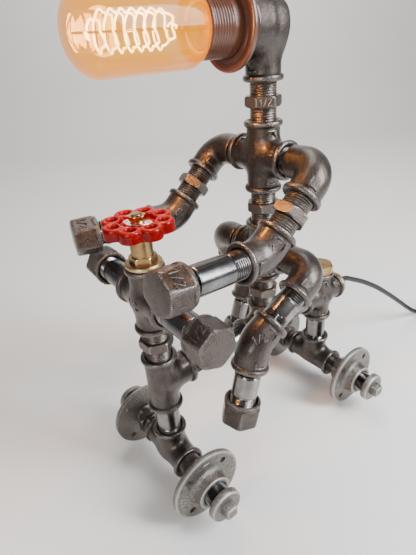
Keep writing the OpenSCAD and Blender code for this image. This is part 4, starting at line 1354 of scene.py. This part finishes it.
def flange_marks():
    """Two raised pipe sizes and two short bars on a flange's face, between its holes."""
    out, height = 26, 0.5
    sign = half_sign(4.5, height)
    bar = stroke((-3, out), (3, out), 1.2, height)
    marks = [sign.at(turn("Z", angle) @ shift(y=-out) @ shift(z=WEB)) for angle in (0, 180)]
    marks += [bar.at(turn("Z", angle) @ shift(z=WEB)) for angle in (90, 270)]
    return total(marks)


def square_plug():
    """Plug whose band starts at z = 0: thread below, band and a bevelled square above."""
    lower, upper = 0.7, 1.8
    outline = [(THREAD_R - 1.2, 0), (PLUG_R - 0.8, 0)]
    outline += arc(PLUG_R - lower, lower, lower, -80, 0, 3)
    outline += arc(PLUG_R - upper, PLUG_WIDTH - upper, upper, 0, 88, 6)
    outline += [(SQUARE / 2 + 1, PLUG_WIDTH), (SQUARE / 2 - 2, PLUG_WIDTH - 0.05)]
    wear_sheen_shade = [0, 0.3] + [0.5] * 4 + [0.7, 0.8, 1, 1, 1, 0.8, 0.5] + [0, 0]
    rim = lathe(outline, around=72, wear_sheen_shade=wear_sheen_shade)
    rows, marks = [], []
    soft, top = 1.5, PLUG_WIDTH + SQUARE_LENGTH
    corner_wear_sheen = np.tile([0, 0.6, 0.6, 0.6, 0], 4)
    for inset, z, mark in ((0, PLUG_WIDTH - 1, 0), (0.15, top - 1.4, 0.4), (0.5, top - 0.5, 1),
                           (1.3, top, 0.8), (SQUARE / 2 - 1.6, top, 0)):
        centre = (SQUARE / 2 - inset - soft) * math.sqrt(2)
        line = []
        for quarter in range(4):
            a = math.pi / 4 + quarter * math.pi / 2
            line += [(centre * math.cos(a) + soft * math.cos(b),
                      centre * math.sin(a) + soft * math.sin(b), z)
                     for b in a + np.radians(np.linspace(-45, 45, 5))]
        rows.append(line)
        marks.append(np.maximum(mark, corner_wear_sheen) if mark or z < top else 0 * corner_wear_sheen)
    head = loft(np.array(rows), wear_sheen_shade=np.array(marks))
    return rim + head


def make_wheels():
    """Flanges with their marks, and the plugs and hexagon nipples that hold them."""
    wheel = flange()
    wheels = {"front": FRONT_Y, "rear": REAR_Y}
    for name, y in wheels.items():
        places = [shift(0, y, AXLE_Z) @ side @ shift(z=WHEEL_X) for side in SIDES]
        disc = piece(name + "_flanges", total(wheel.at(place) for place in places), ZINC, "frame",
                     [name + "_wheels"])
        drill_holes(disc, places)
        marks = total(flange_marks().at(place) for place in places)
        piece(name + "_flange_marks", marks, ZINC, "frame", ())
    outs = [shift(0, y, AXLE_Z) @ side for y in wheels.values() for side in SIDES]
    plugs = total(square_plug().at(out @ shift(z=WHEEL_X + WHEEL_LENGTH + PLUG_GAP)) for out in outs)
    piece("square_plugs", plugs, ZINC, "frame", ["axle_plugs"])
    shank = PLUG_GAP + WHEEL_LENGTH / 2
    thread = threaded(-shank, 1, 1, -shank)
    threads = total(thread.at(out @ shift(z=WHEEL_X + WHEEL_LENGTH + PLUG_GAP)) for out in outs)
    piece("plug_threads", threads, DARK_STEEL, "frame", ())
    grip = WHEEL_LENGTH / 2 - 1
    axle = threaded(-GRIP, AXLE_GAP + grip, AXLE_GAP, AXLE_GAP - 1)
    axle = axle + hexagon(HEX_FLATS, HEX_LENGTH, 0).at(shift(z=AXLE_GAP - HEX_LENGTH - 6))
    axles = total(axle.at(out @ shift(z=OUTLET)) for out in outs)
    piece("axle_hexagon_nipples", axles, HEX, "frame", ["axle_nipples"])


make_wheels()

# ---------------------------------------------------------------- handwheel and brass

LOBES = 8
LOBE_CIRCLE = 18.6
LOBE_R = 7.4
WINDOW_R = 3.7
RIM_HEIGHT = 8.5
SKIRT_TOP = 6.4
SKIRT_SOFT = 1.8
LOOP_R = 1.9
LOOP_CIRCLE = 5.5
HOLLOW_NEAR, HOLLOW_FAR = 2.4, 4.9
DISH_R = 12.5
DISH_DEPTH = 3.5
STEM_R = 4
PLATE_SPREAD = 6.9
PLATE_END_R = 4.2
PLATE_BAR = 4.4
PLATE_TURN = 35
NUT_COLLAR = 2.2
BONNET_R = 14
BONNET_FLANGE = 3.5
BONNET_HEX = 18.4
BONNET_HEX_HEIGHT = 5.2
NECK_TOP = 26.5
HANDWHEEL_Z = corners("handwheel")[0][2]
PLATE_Z = corners("index_plate")[0][2]
NUT_Z = corners("stem_nut")[0][2]
NUT_TOP = corners("stem_nut")[1][2]
STEM_TOP = corners("valve_stem")[1][2]


def handwheel_field(p):
    """Distance to the handwheel: eight rings around their windows, melted to a skirt and a low hub.

    An angle is folded into one lobe's sector, so that a single lobe is worked out and repeated.
    The underside is hollow up to a ceiling that is higher under the lobes than beside the hub.
    """
    wall, hub_wall, squash, inwards = 2.2, 5, 0.92, 0.2
    sector = 2 * np.pi / LOBES
    angle = np.arctan2(p[..., 1], p[..., 0])
    folded = np.abs((angle + sector / 2) % sector - sector / 2)
    r, z = np.hypot(p[..., 0], p[..., 1]), p[..., 2]
    x, y = r * np.cos(folded), r * np.sin(folded)
    across = np.hypot(x - LOBE_CIRCLE, y)
    beside = np.hypot(r * np.cos(sector - folded) - LOBE_CIRCLE, r * np.sin(sector - folded))
    outline = melt(melt(across, beside, 2.0) - LOBE_R, r - LOBE_CIRCLE - 2.0, 4.0)
    flat = np.maximum(outline + SKIRT_SOFT, 0)
    lid = np.maximum(z - SKIRT_TOP + SKIRT_SOFT, 0)
    within = np.minimum(np.maximum(outline, z - SKIRT_TOP) + SKIRT_SOFT, 0)
    skirt = np.hypot(flat, lid) + within - SKIRT_SOFT
    oval = np.hypot(x - LOBE_CIRCLE + inwards, y * squash)
    loop = np.hypot(oval - LOOP_CIRCLE, z - RIM_HEIGHT + LOOP_R) - LOOP_R
    solid = melt(skirt, loop, 1.6)
    window = np.hypot((x - LOBE_CIRCLE + inwards) / squash, y) - WINDOW_R
    solid = carve(solid, window, 1.2)
    dish = np.maximum(r - DISH_R, RIM_HEIGHT - DISH_DEPTH - z)
    solid = carve(solid, dish, 2.4)
    ceiling = HOLLOW_NEAR + (HOLLOW_FAR - HOLLOW_NEAR) * smooth((r - 13) / 3)
    below = np.maximum(np.maximum(outline + wall, z - ceiling), STEM_R + hub_wall - r)
    solid = carve(solid, below, 0.8)
    solid = np.maximum(solid, -z)
    return np.maximum(solid, STEM_R + 0.15 - r)


def plate_field(p):
    """Distance to the dial plate: two dimpled round ends joined by a bar, bored for the stem."""
    soft = 0.45
    x, y, z = np.abs(p[..., 0]), p[..., 1], p[..., 2]
    end = np.hypot(x - PLATE_SPREAD, y)
    bar = np.maximum(x - PLATE_SPREAD, np.abs(y) - PLATE_BAR)
    outline = melt(end - PLATE_END_R, bar, 2.5)
    top = 1.0 + 0.5 * smooth((x - 3) / 4)
    edge, lid = np.maximum(outline + soft, 0), np.maximum(z - top + soft, 0)
    solid = np.hypot(edge, lid) + np.minimum(np.maximum(outline, z - top) + soft, 0) - soft
    solid = np.maximum(solid, -z)
    dimple_z, dimple_r = 1.7, 1.6
    from_dimple = np.stack([x - PLATE_SPREAD, y, z - dimple_z], -1)
    dimple = np.linalg.norm(from_dimple, axis=-1) - dimple_r
    return np.maximum(carve(solid, dimple, 0.3), STEM_R + 0.1 - np.hypot(x, y))


def make_handwheel():
    """Handwheel with its dial plate, nut and stem, all of which turn together."""
    reach = LOBE_CIRCLE + LOBE_R + 1
    wheel = skin(handwheel_field, [-reach, -reach, -0.6], [reach, reach, RIM_HEIGHT + 0.8], 0.5)
    piece("handwheel_casting", wheel.at(shift(0, FRONT_Y, HANDWHEEL_Z)), ENAMEL, "switch_wheel",
          ["handwheel"], 60)
    half = PLATE_SPREAD + PLATE_END_R + 0.4
    plate = skin(plate_field, [-half, -6, -0.4], [half, 6, 2.2], 0.3)
    piece("dial_plate", plate.at(shift(0, FRONT_Y, PLATE_Z) @ turn("Z", PLATE_TURN)), BRIGHT,
          "switch_wheel", ["index_plate"], 50)
    head = NUT_TOP - NUT_Z - NUT_COLLAR
    nut = hexagon(11, head, 15, inner=STEM_R - 0.2, slope=1.0, corner=0.5).at(shift(z=NUT_COLLAR))
    nut = nut + lathe([(STEM_R - 0.2, 0), (4.9, 0), (4.9, 0.4), (4.6, 0.8), (4.6, NUT_COLLAR + 0.2),
                       (STEM_R - 0.2, NUT_COLLAR + 0.2)], closed=True, around=40)
    piece("stem_nut_hexagon", nut.at(shift(0, FRONT_Y, NUT_Z)), NUT_BRASS, "switch_wheel",
          ["stem_nut"])
    stem_foot = corners("valve_stem")[0][2]
    stem = threaded(stem_foot, STEM_TOP - 0.1, stem_foot, NUT_Z + 1, crest=STEM_R - 0.02,
                    core=STEM_R - 0.02, pitch=1.0, depth=0.4, around=32)
    piece("stem", stem.at(at_front(0)), BRASS, "switch_wheel", ["valve_stem"])


def make_bonnet():
    """Brass bonnet: thread, flange, low hexagon with turned corners and a neck that widens upwards."""
    flange_outline = [(STEM_R + 0.1, -1), (THREAD_R, -1), (THREAD_R, 0), (BONNET_R - 0.8, 0)]
    flange_outline += arc(BONNET_R - 0.9, 0.9, 0.9, -80, 0, 4)
    flange_outline += arc(BONNET_R - 1.5, BONNET_FLANGE - 1.5, 1.5, 0, 80, 5)
    flange_outline += [(10.3, BONNET_FLANGE + 0.1), (STEM_R + 0.1, BONNET_FLANGE + 0.1)]
    wear_sheen_shade = [0, 0, 0, 0.2] + [0.4, 0.6, 0.8, 0.8, 0.8] + [0.8, 1, 1, 0.9, 0.6, 0.3] + [0, 0]
    shape = lathe(flange_outline, closed=True, around=72, wear_sheen_shade=wear_sheen_shade)
    hex_foot = BONNET_FLANGE - 0.4
    low_hexagon = hexagon(BONNET_HEX, BONNET_HEX_HEIGHT + 0.4, 0, inner=STEM_R + 0.1, slope=0.75,
                          corner=0.8)
    shape = shape + low_hexagon.at(shift(z=hex_foot))
    foot = BONNET_FLANGE + BONNET_HEX_HEIGHT
    neck = [(STEM_R + 0.1, foot - 0.7), (8.3, foot - 0.7), (8.2, foot + 1.2), (8.1, foot + 3.5),
            (8.3, foot + 9), (8.7, NECK_TOP - 1)]
    neck += arc(8.2, NECK_TOP - 0.6, 0.6, 0, 90, 3) + [(STEM_R + 0.1, NECK_TOP)]
    shape = shape + lathe(neck, closed=True, around=64, wear_sheen_shade=[0] * 5 + [0.3, 0.8, 1, 1, 0.8, 0])
    piece("brass_bonnet", shape.at(at_front(BONNET_Z)), BRASS, "frame", ["valve_bonnet"])


def make_rear_brass():
    """Hexagon plug on the rear cross, and the gland that lets the cord out at its back."""
    thread = threaded(-GRIP, 1.5, 1, 1)
    plug = thread + hexagon(HEX_FLATS, HEX_LENGTH + 1, 20, inner=THREAD_R - 1, closed_top=True)
    piece("brass_hexagon_plug", plug.at(at_rear(FRAME_Z + OUTLET)), BRASS, "frame", ["brass_plug"])
    hole = 4.45
    outline = [(hole, -9), (THREAD_R - 0.5, -9), (THREAD_R - 0.5, 0), (12.6, 0)]
    outline += arc(12.4, 1.0, 1.0, -80, 0, 4) + arc(11.4, 3.0, 2.0, 0, 80, 6)
    outline += [(hole + 1.2, 5), (hole, 4.4)]
    wear_sheen_shade = [0, 0, 0, 0.2, 0.4, 0.6, 0.8, 0.8, 0.8, 0.8, 1, 1, 1, 0.8, 0.6, 0.4, 0.6, 0]
    gland = lathe(outline, closed=True, around=64, wear_sheen_shade=wear_sheen_shade)
    piece("brass_gland", gland.at(shift(0, REAR_Y + OUTLET, FRAME_Z) @ BACK), BRASS, "frame",
          ["cord_gland"])


make_handwheel()
make_bonnet()
make_rear_brass()

# ---------------------------------------------------------------- head and bulb

HEAD_RISE = HEAD_Z - NECK_Z
MOUTH_REACH = 30.5
MOUTH_R = 20.1
MOUTH_SOCKET = 16.4
SLEEVE_R = 19.3
SLEEVE_LENGTH = 29
SLEEVE_BORE = 16.6
RIM_S = MOUTH_REACH + SLEEVE_LENGTH
RING_R = 28.5
RING_HEIGHT = 4.3
CAP_S, NECK_S = 39.5, RIM_S - 2.6
GLASS_NECK_R = 12.9
THROAT_R, THROAT_S = SLEEVE_BORE - 1, RIM_S + 0.4
BULB_R = 24
TIP_S = SEAT_Y - corners("bulb_glass")[0][1]
DOME_LENGTH, SHOULDER_LENGTH = 18, 10
COIL_R = 11.5
FILAMENT_TURNS = 9
FILAMENT_START, FILAMENT_END = RIM_S + 14, TIP_S - 13
AT_HEAD = at_seat(HEAD_Z) @ FRONT


def head_elbow_field(p):
    """Distance to the reducing elbow: an upright arm, a wide level arm and a ball at their corner.

    A cone, which widens by a tenth of its length, joins the ball to the wide arm.
    """
    cone_r, cone_middle, cone_half = 17.6, 8, 14
    level = p @ FRONT[:3, :3]
    upright = rod(p @ DOWN[:3, :3], BODY_R, -6, HEAD_RISE - BAND_WIDTH + 1.5, 0.8)
    mouth = rod(level, MOUTH_R, 6, MOUTH_REACH - BAND_WIDTH + 1.5, 3)
    cone = np.hypot(level[..., 0], level[..., 1]) - cone_r - 0.1 * level[..., 2]
    cone = np.maximum(cone, np.abs(level[..., 2] - cone_middle) - cone_half)
    corner = np.linalg.norm(p - [0, 1.0, -1.0], axis=-1) - HEEL_R
    return melt(melt(melt(mouth, cone, 3), corner, 7), upright, 9)


def make_head_elbow():
    """Reducing elbow with a band and marks at its mouths, and a raised oval on its side."""
    low = [-MOUTH_R - 1.5, -MOUTH_REACH, -HEAD_RISE]
    body = skin(head_elbow_field, low, [MOUTH_R + 1.5, HEEL_R + 2.5, MOUTH_R + 1.5], 1.0)
    below = at_seat(HEAD_Z) @ DOWN @ shift(z=HEAD_RISE)
    shape = body.at(at_seat(HEAD_Z)) + band().at(below)
    wide = band(MOUTH_R + 2.1, BAND_WIDTH, MOUTH_SOCKET + 0.2, 1.9)
    shape = shape + wide.at(AT_HEAD @ shift(z=MOUTH_REACH))
    shape = shape + band_mark(below, 40) + band_mark(below, 220)
    oval = total(stroke(a, b, 1.5, 1.2) for a, b in (((-4, 2.6), (3, 2.6)), ((-4, -2.6), (3, -2.6)),
                                                     ((3, 2.6), (4.6, 0)), ((4.6, 0), (3, -2.6))))
    side = AT_HEAD @ shift(z=-3)
    shape = shape + wrapped(oval, HEEL_R - 0.4).at(towards_camera(side))
    piece("head_reducing_elbow", shape, CAST, "head", ["head_elbow"])


def make_holder():
    """Threaded sleeve of the lamp holder, open at the front, and the tail that holds it.

    The thread is a cosine wave of the height over the pitch less the share of a turn. It eases
    in and out by smooth steps, and leaves both ends plain.
    """
    around = 80
    thread_from, plain_end, ease = 11, 2.4, 1.2
    z = np.linspace(0, SLEEVE_LENGTH, 150)
    angle = full_turn(around)
    pitch, depth = 2.2, 0.75
    share = smooth((z - thread_from) / ease)
    share = share * (1 - smooth((z - SLEEVE_LENGTH + plain_end) / ease))
    wave = 0.5 - 0.5 * np.cos(2 * np.pi * (z[:, None] / pitch - angle / (2 * np.pi)))
    rim_round = 0.5 * np.maximum(0, 1 - (SLEEVE_LENGTH - z) / 0.8) ** 2
    radius = SLEEVE_R - depth * share[:, None] * wave - rim_round[:, None]
    outer = np.stack([radius * np.cos(angle), radius * np.sin(angle), z[:, None] + 0 * angle], -1)
    inner = rings(np.array([(SLEEVE_BORE + 0.4, SLEEVE_LENGTH), (SLEEVE_BORE, SLEEVE_LENGTH - 0.6),
                            (SLEEVE_BORE, 6), (5, 5.8), (5, 0.2)]), around)
    sleeve = loft(np.concatenate([outer, inner]), closed=True)
    tail = lathe([(MOUTH_SOCKET - 3, 0.5), (MOUTH_SOCKET - 3, -11), (MOUTH_SOCKET - 0.05, -11),
                  (MOUTH_SOCKET - 0.05, 0.5)], closed=True, around=72)
    shape = (sleeve + tail).at(AT_HEAD @ shift(z=MOUTH_REACH))
    piece("holder_threaded_sleeve", shape, PHENOLIC, "head", ["holder_sleeve"])


def make_shade_ring():
    """Ring on the sleeve that clamps a shade: round at its rim and hollowed on its face."""
    soft = 1.5
    outline = [(SLEEVE_R + 0.1, RING_HEIGHT - 0.4), (SLEEVE_R + 0.1, 0.2), (SLEEVE_R + 0.5, 0)]
    outline += [(RING_R - 2.2, 0)] + arc(RING_R - soft, soft, soft, -90, 0, 5)
    outline += arc(RING_R - soft, RING_HEIGHT - soft, soft, 0, 90, 5)
    outline += [(RING_R - 3.4, RING_HEIGHT - 0.1), (RING_R - 4.2, RING_HEIGHT - 0.7),
                (22.6, RING_HEIGHT - 0.9), (22.0, RING_HEIGHT), (SLEEVE_R + 0.6, RING_HEIGHT)]
    ring = lathe(outline, closed=True, around=96)
    piece("shade_ring_moulding", ring.at(AT_HEAD @ shift(z=MOUTH_REACH)), PHENOLIC, "head",
          ["shade_ring"])


def bulb_outline():
    """Half outline of the bulb: straight neck, an S-shaped shoulder, a straight side and a dome."""
    line = [(GLASS_NECK_R, NECK_S)]
    for a in np.radians(np.linspace(0, 90, 13)):
        line.append((THROAT_R + (BULB_R - THROAT_R) * math.sin(a),
                     THROAT_S + SHOULDER_LENGTH * (1 - math.cos(a))))
    side = np.linspace(THROAT_S + SHOULDER_LENGTH, TIP_S - DOME_LENGTH, 12)[1:-1]
    line += [(BULB_R, s) for s in side]
    for a in np.radians(np.linspace(0, 88, 18)):
        line.append((BULB_R * math.cos(a), TIP_S - DOME_LENGTH + DOME_LENGTH * math.sin(a)))
    return np.array(line)


def filament_line():
    """Wire wound as a cage about the bulb's axis: a helix whose radius zigzags.

    The radius is the coil's, less a triangle wave with five corners to each turn, and it runs in
    to the stem and to the centre wire at its two ends.
    """
    corners_per_turn, points_per_turn = 5, 40
    t = np.linspace(0, 1, FILAMENT_TURNS * points_per_turn + 1)
    angle = 2 * np.pi * FILAMENT_TURNS * t
    corner = np.abs((t * FILAMENT_TURNS * corners_per_turn) % 1 - 0.5) * 2
    radius = (COIL_R - 2.2 * corner) * np.minimum(1, np.minimum(0.1 + 6 * t, 0.1 + 6 * (1 - t)))
    along = FILAMENT_START + (FILAMENT_END - FILAMENT_START) * t + 1.3 * corner
    return np.stack([radius * np.cos(angle), radius * np.sin(angle), along], -1)


def make_bulb():
    """Glass, filament, and the stem with its wire and supports.

    The glow falls off from the filament's ends as a bell curve, and so does the ring of painted
    glint from where the glass leaves the holder.
    """
    glow_fall, glint_width, glint_inner_r = 13, 0.9, 10
    shape = lathe(bulb_outline(), around=72)
    s = shape.points[:, 2]
    middle_s = (FILAMENT_START + FILAMENT_END) / 2
    half = (FILAMENT_END - FILAMENT_START) / 2
    beyond = np.maximum(np.abs(s - middle_s) - half, 0)
    glow = np.exp(-(beyond / glow_fall) ** 2)
    # Painted glint: a narrow band where the glass leaves the holder
    ring = np.exp(-((s - THROAT_S - 0.6) / glint_width) ** 2)
    ring = ring * (np.hypot(*shape.points.T[:2]) > glint_inner_r)
    piece("bulb_glass_shell", shape.at(AT_HEAD), GLASS, "head", ["bulb_glass"], 80,
          {"glow": glow, "ring": ring})
    coil = tube(filament_line() + 1e-6, 0.65, 8)
    stem_end = FILAMENT_START - 3
    stem = lathe([(5, NECK_S), (4.2, NECK_S + 4), (3.0, stem_end - 4)]
                 + arc(0.6, stem_end - 2.2, 2.2, 0, 80, 4), around=24)
    wire = lathe([(0.7, stem_end - 1), (0.7, FILAMENT_END + 1.0)], around=10)
    support = lathe([(0.25, 0), (0.25, COIL_R)], around=6)
    supports = [support.at(shift(z=FILAMENT_START + along) @ turn("Z", spin) @ LEFT)
                for along, spin in ((14, 20), (30, 140), (46, 260))]
    piece("bulb_filament_coil", coil.at(AT_HEAD), GLOWING, "head", ["bulb_filament"], 80)
    inside = (stem + total([wire] + supports)).at(AT_HEAD)
    piece("bulb_stem", inside, STEM_GLASS, "head", ())


def make_screw_cap():
    """Screw cap of the bulb, whose thread is drawn as a cosine wave along its side."""
    screw_r, screw_depth, screw_pitch = 12.7, 0.45, 3.6
    cap_outline = [(4.6, CAP_S - 0.6), (13.0, CAP_S + 3.4), (13.2, CAP_S + 5)]
    z = np.linspace(CAP_S + 5, NECK_S - 1, 60)
    cap_outline += list(zip(screw_r + screw_depth * np.cos(2 * np.pi * z / screw_pitch), z))
    cap_outline += [(12.9, NECK_S - 0.5), (12.9, NECK_S)]
    piece("bulb_screw_cap", lathe(cap_outline, around=56).at(AT_HEAD), LAMP_BRASS, "head",
          ["bulb_cap"])


make_head_elbow()
make_holder()
make_shade_ring()
make_bulb()
make_screw_cap()

# ---------------------------------------------------------------- limbs


def street_elbow(side, place):
    """Square elbow with an outside thread: the female leg is +Z and the male one points inwards.

    The body narrows a little towards its male end by a smooth step.
    """
    taper_from, taper_length, taper_by = 14, 12, 0.35
    male_reach = STREET_REACH - STREET_SHOW
    line, length = bend_line(OUTLET, male_reach, 90, BEND_R)
    outside = np.linspace(2, length - 1.2, 36)
    taper = BODY_R - taper_by * smooth((outside - length + taper_from) / taper_length)
    stations = list(zip(outside, taper)) + [(length - 0.3, BODY_R - 0.9), (length, BODY_R - 1.6)]
    stations += [(length, BORE_R)] + [(s, BORE_R) for s in np.linspace(length - 1, SOCKET_DEPTH, 14)]
    stations += [(SOCKET_DEPTH, SOCKET_R + 0.5), (2, SOCKET_R + 0.5)]
    body = loft(carried(line, stations), closed=True)
    shape = body.at(turn("Z", 180 if side < 0 else 0) @ turn("Y", 180))
    shape = shape + band().at(shift(z=OUTLET))
    male_end = STREET_SHOW + GRIP
    thread = threaded(-1, male_end, male_end, 0)
    shape = shape + thread.at(turn("Y", -90 * side) @ shift(z=male_reach))
    face = place @ shift(z=OUTLET)
    return shape.at(place) + band_mark(face, -12) + band_mark(face, 160)


def bent_elbow(bend, place):
    """45 degree elbow at its place, an angle beside each band and the size between them."""
    bend_r = 24
    line, length = bend_line(BEND45_REACH, BEND45_REACH, 45, bend_r)
    body = elbow_body(line, length, swell=0.5)
    shape = body.at(place @ turn("Z", 90 if bend < 0 else -90))
    faces = [place @ way @ shift(z=BEND45_REACH) for way in (DOWN, turn("X", bend))]
    for face, offset in zip(faces, (30, -35)):
        shape = shape + band().at(face) + band_mark(face, offset)
    return shape + face_sign(faces[0], 5, down=19, spin=60, radius=BODY_R + 0.35)


def make_limb(prefix, limb, upper, lower, names):
    """Street elbow, nipple, 45 degree elbow, nipple and cap of one limb, on its two bodies.

    An arm's first nipple has a hexagon, its second is darker, and its cap bears the pipe size.
    """
    first, second, third, fourth, fifth = [f"{prefix}_{name}" for name in names]
    start, elbow, end = limb_place(limb), joint_place(limb), end_place(limb)
    is_arm = "arm" in second
    piece(first + "_body", street_elbow(limb["side"], start), CAST, upper, [first])
    upper_nipple = hex_nipple(limb["gap"], limb["turn_hex"]) if is_arm else nipple(limb["gap"], 5, 5)
    piece(second + "_pipe", upper_nipple.at(start @ shift(z=OUTLET)), HEX if is_arm else STEEL, upper,
          [second])
    piece(third + "_body", bent_elbow(limb["bend"], elbow), CAST, lower, [third])
    lower_gap = FOREARM_GAP if is_arm else SHIN_GAP
    lower_nipple = nipple(lower_gap, 9, 3) if is_arm else nipple(lower_gap, 3, 4)
    lower_steel = DARK_STEEL if is_arm else STEEL
    piece(fourth + "_pipe", lower_nipple.at(end), lower_steel, lower, [fourth])
    hand = cap(limb["turn_cap"])
    if is_arm:
        hand = hand + cap_sign(limb["turn_cap"], nearest_side(end, limb["turn_cap"], 20))
    piece(fifth + "_body", hand.at(end @ shift(z=lower_gap)), CAPS, lower, [fifth])


ARM = ("shoulder_elbow", "arm_nipple", "forearm_elbow", "forearm_nipple", "hand_cap")
LEG = ("hip_elbow", "thigh_nipple", "knee_elbow", "shin_nipple", "foot_cap")
make_limb("near", dict(NEAR_ARM, turn_hex=53, turn_cap=25), "near_upper_arm", "near_forearm", ARM)
make_limb("far", dict(FAR_ARM, turn_hex=15, turn_cap=25), "far_upper_arm", "far_forearm", ARM)
make_limb("near", dict(NEAR_LEG, turn_cap=41), "near_thigh", "near_shin", LEG)
make_limb("far", dict(FAR_LEG, turn_cap=20), "far_thigh", "far_shin", LEG)

# ---------------------------------------------------------------- nodes that stay as they are

for node in ("frame_lead", "switch_lead", "head_lead"):
    cad_finish(node, LEAD)
cad_finish("rotary_switch", SWITCH)
cad_finish("socket_core", PORCELAIN)
cad_finish("socket_shell", LAMP_BRASS)
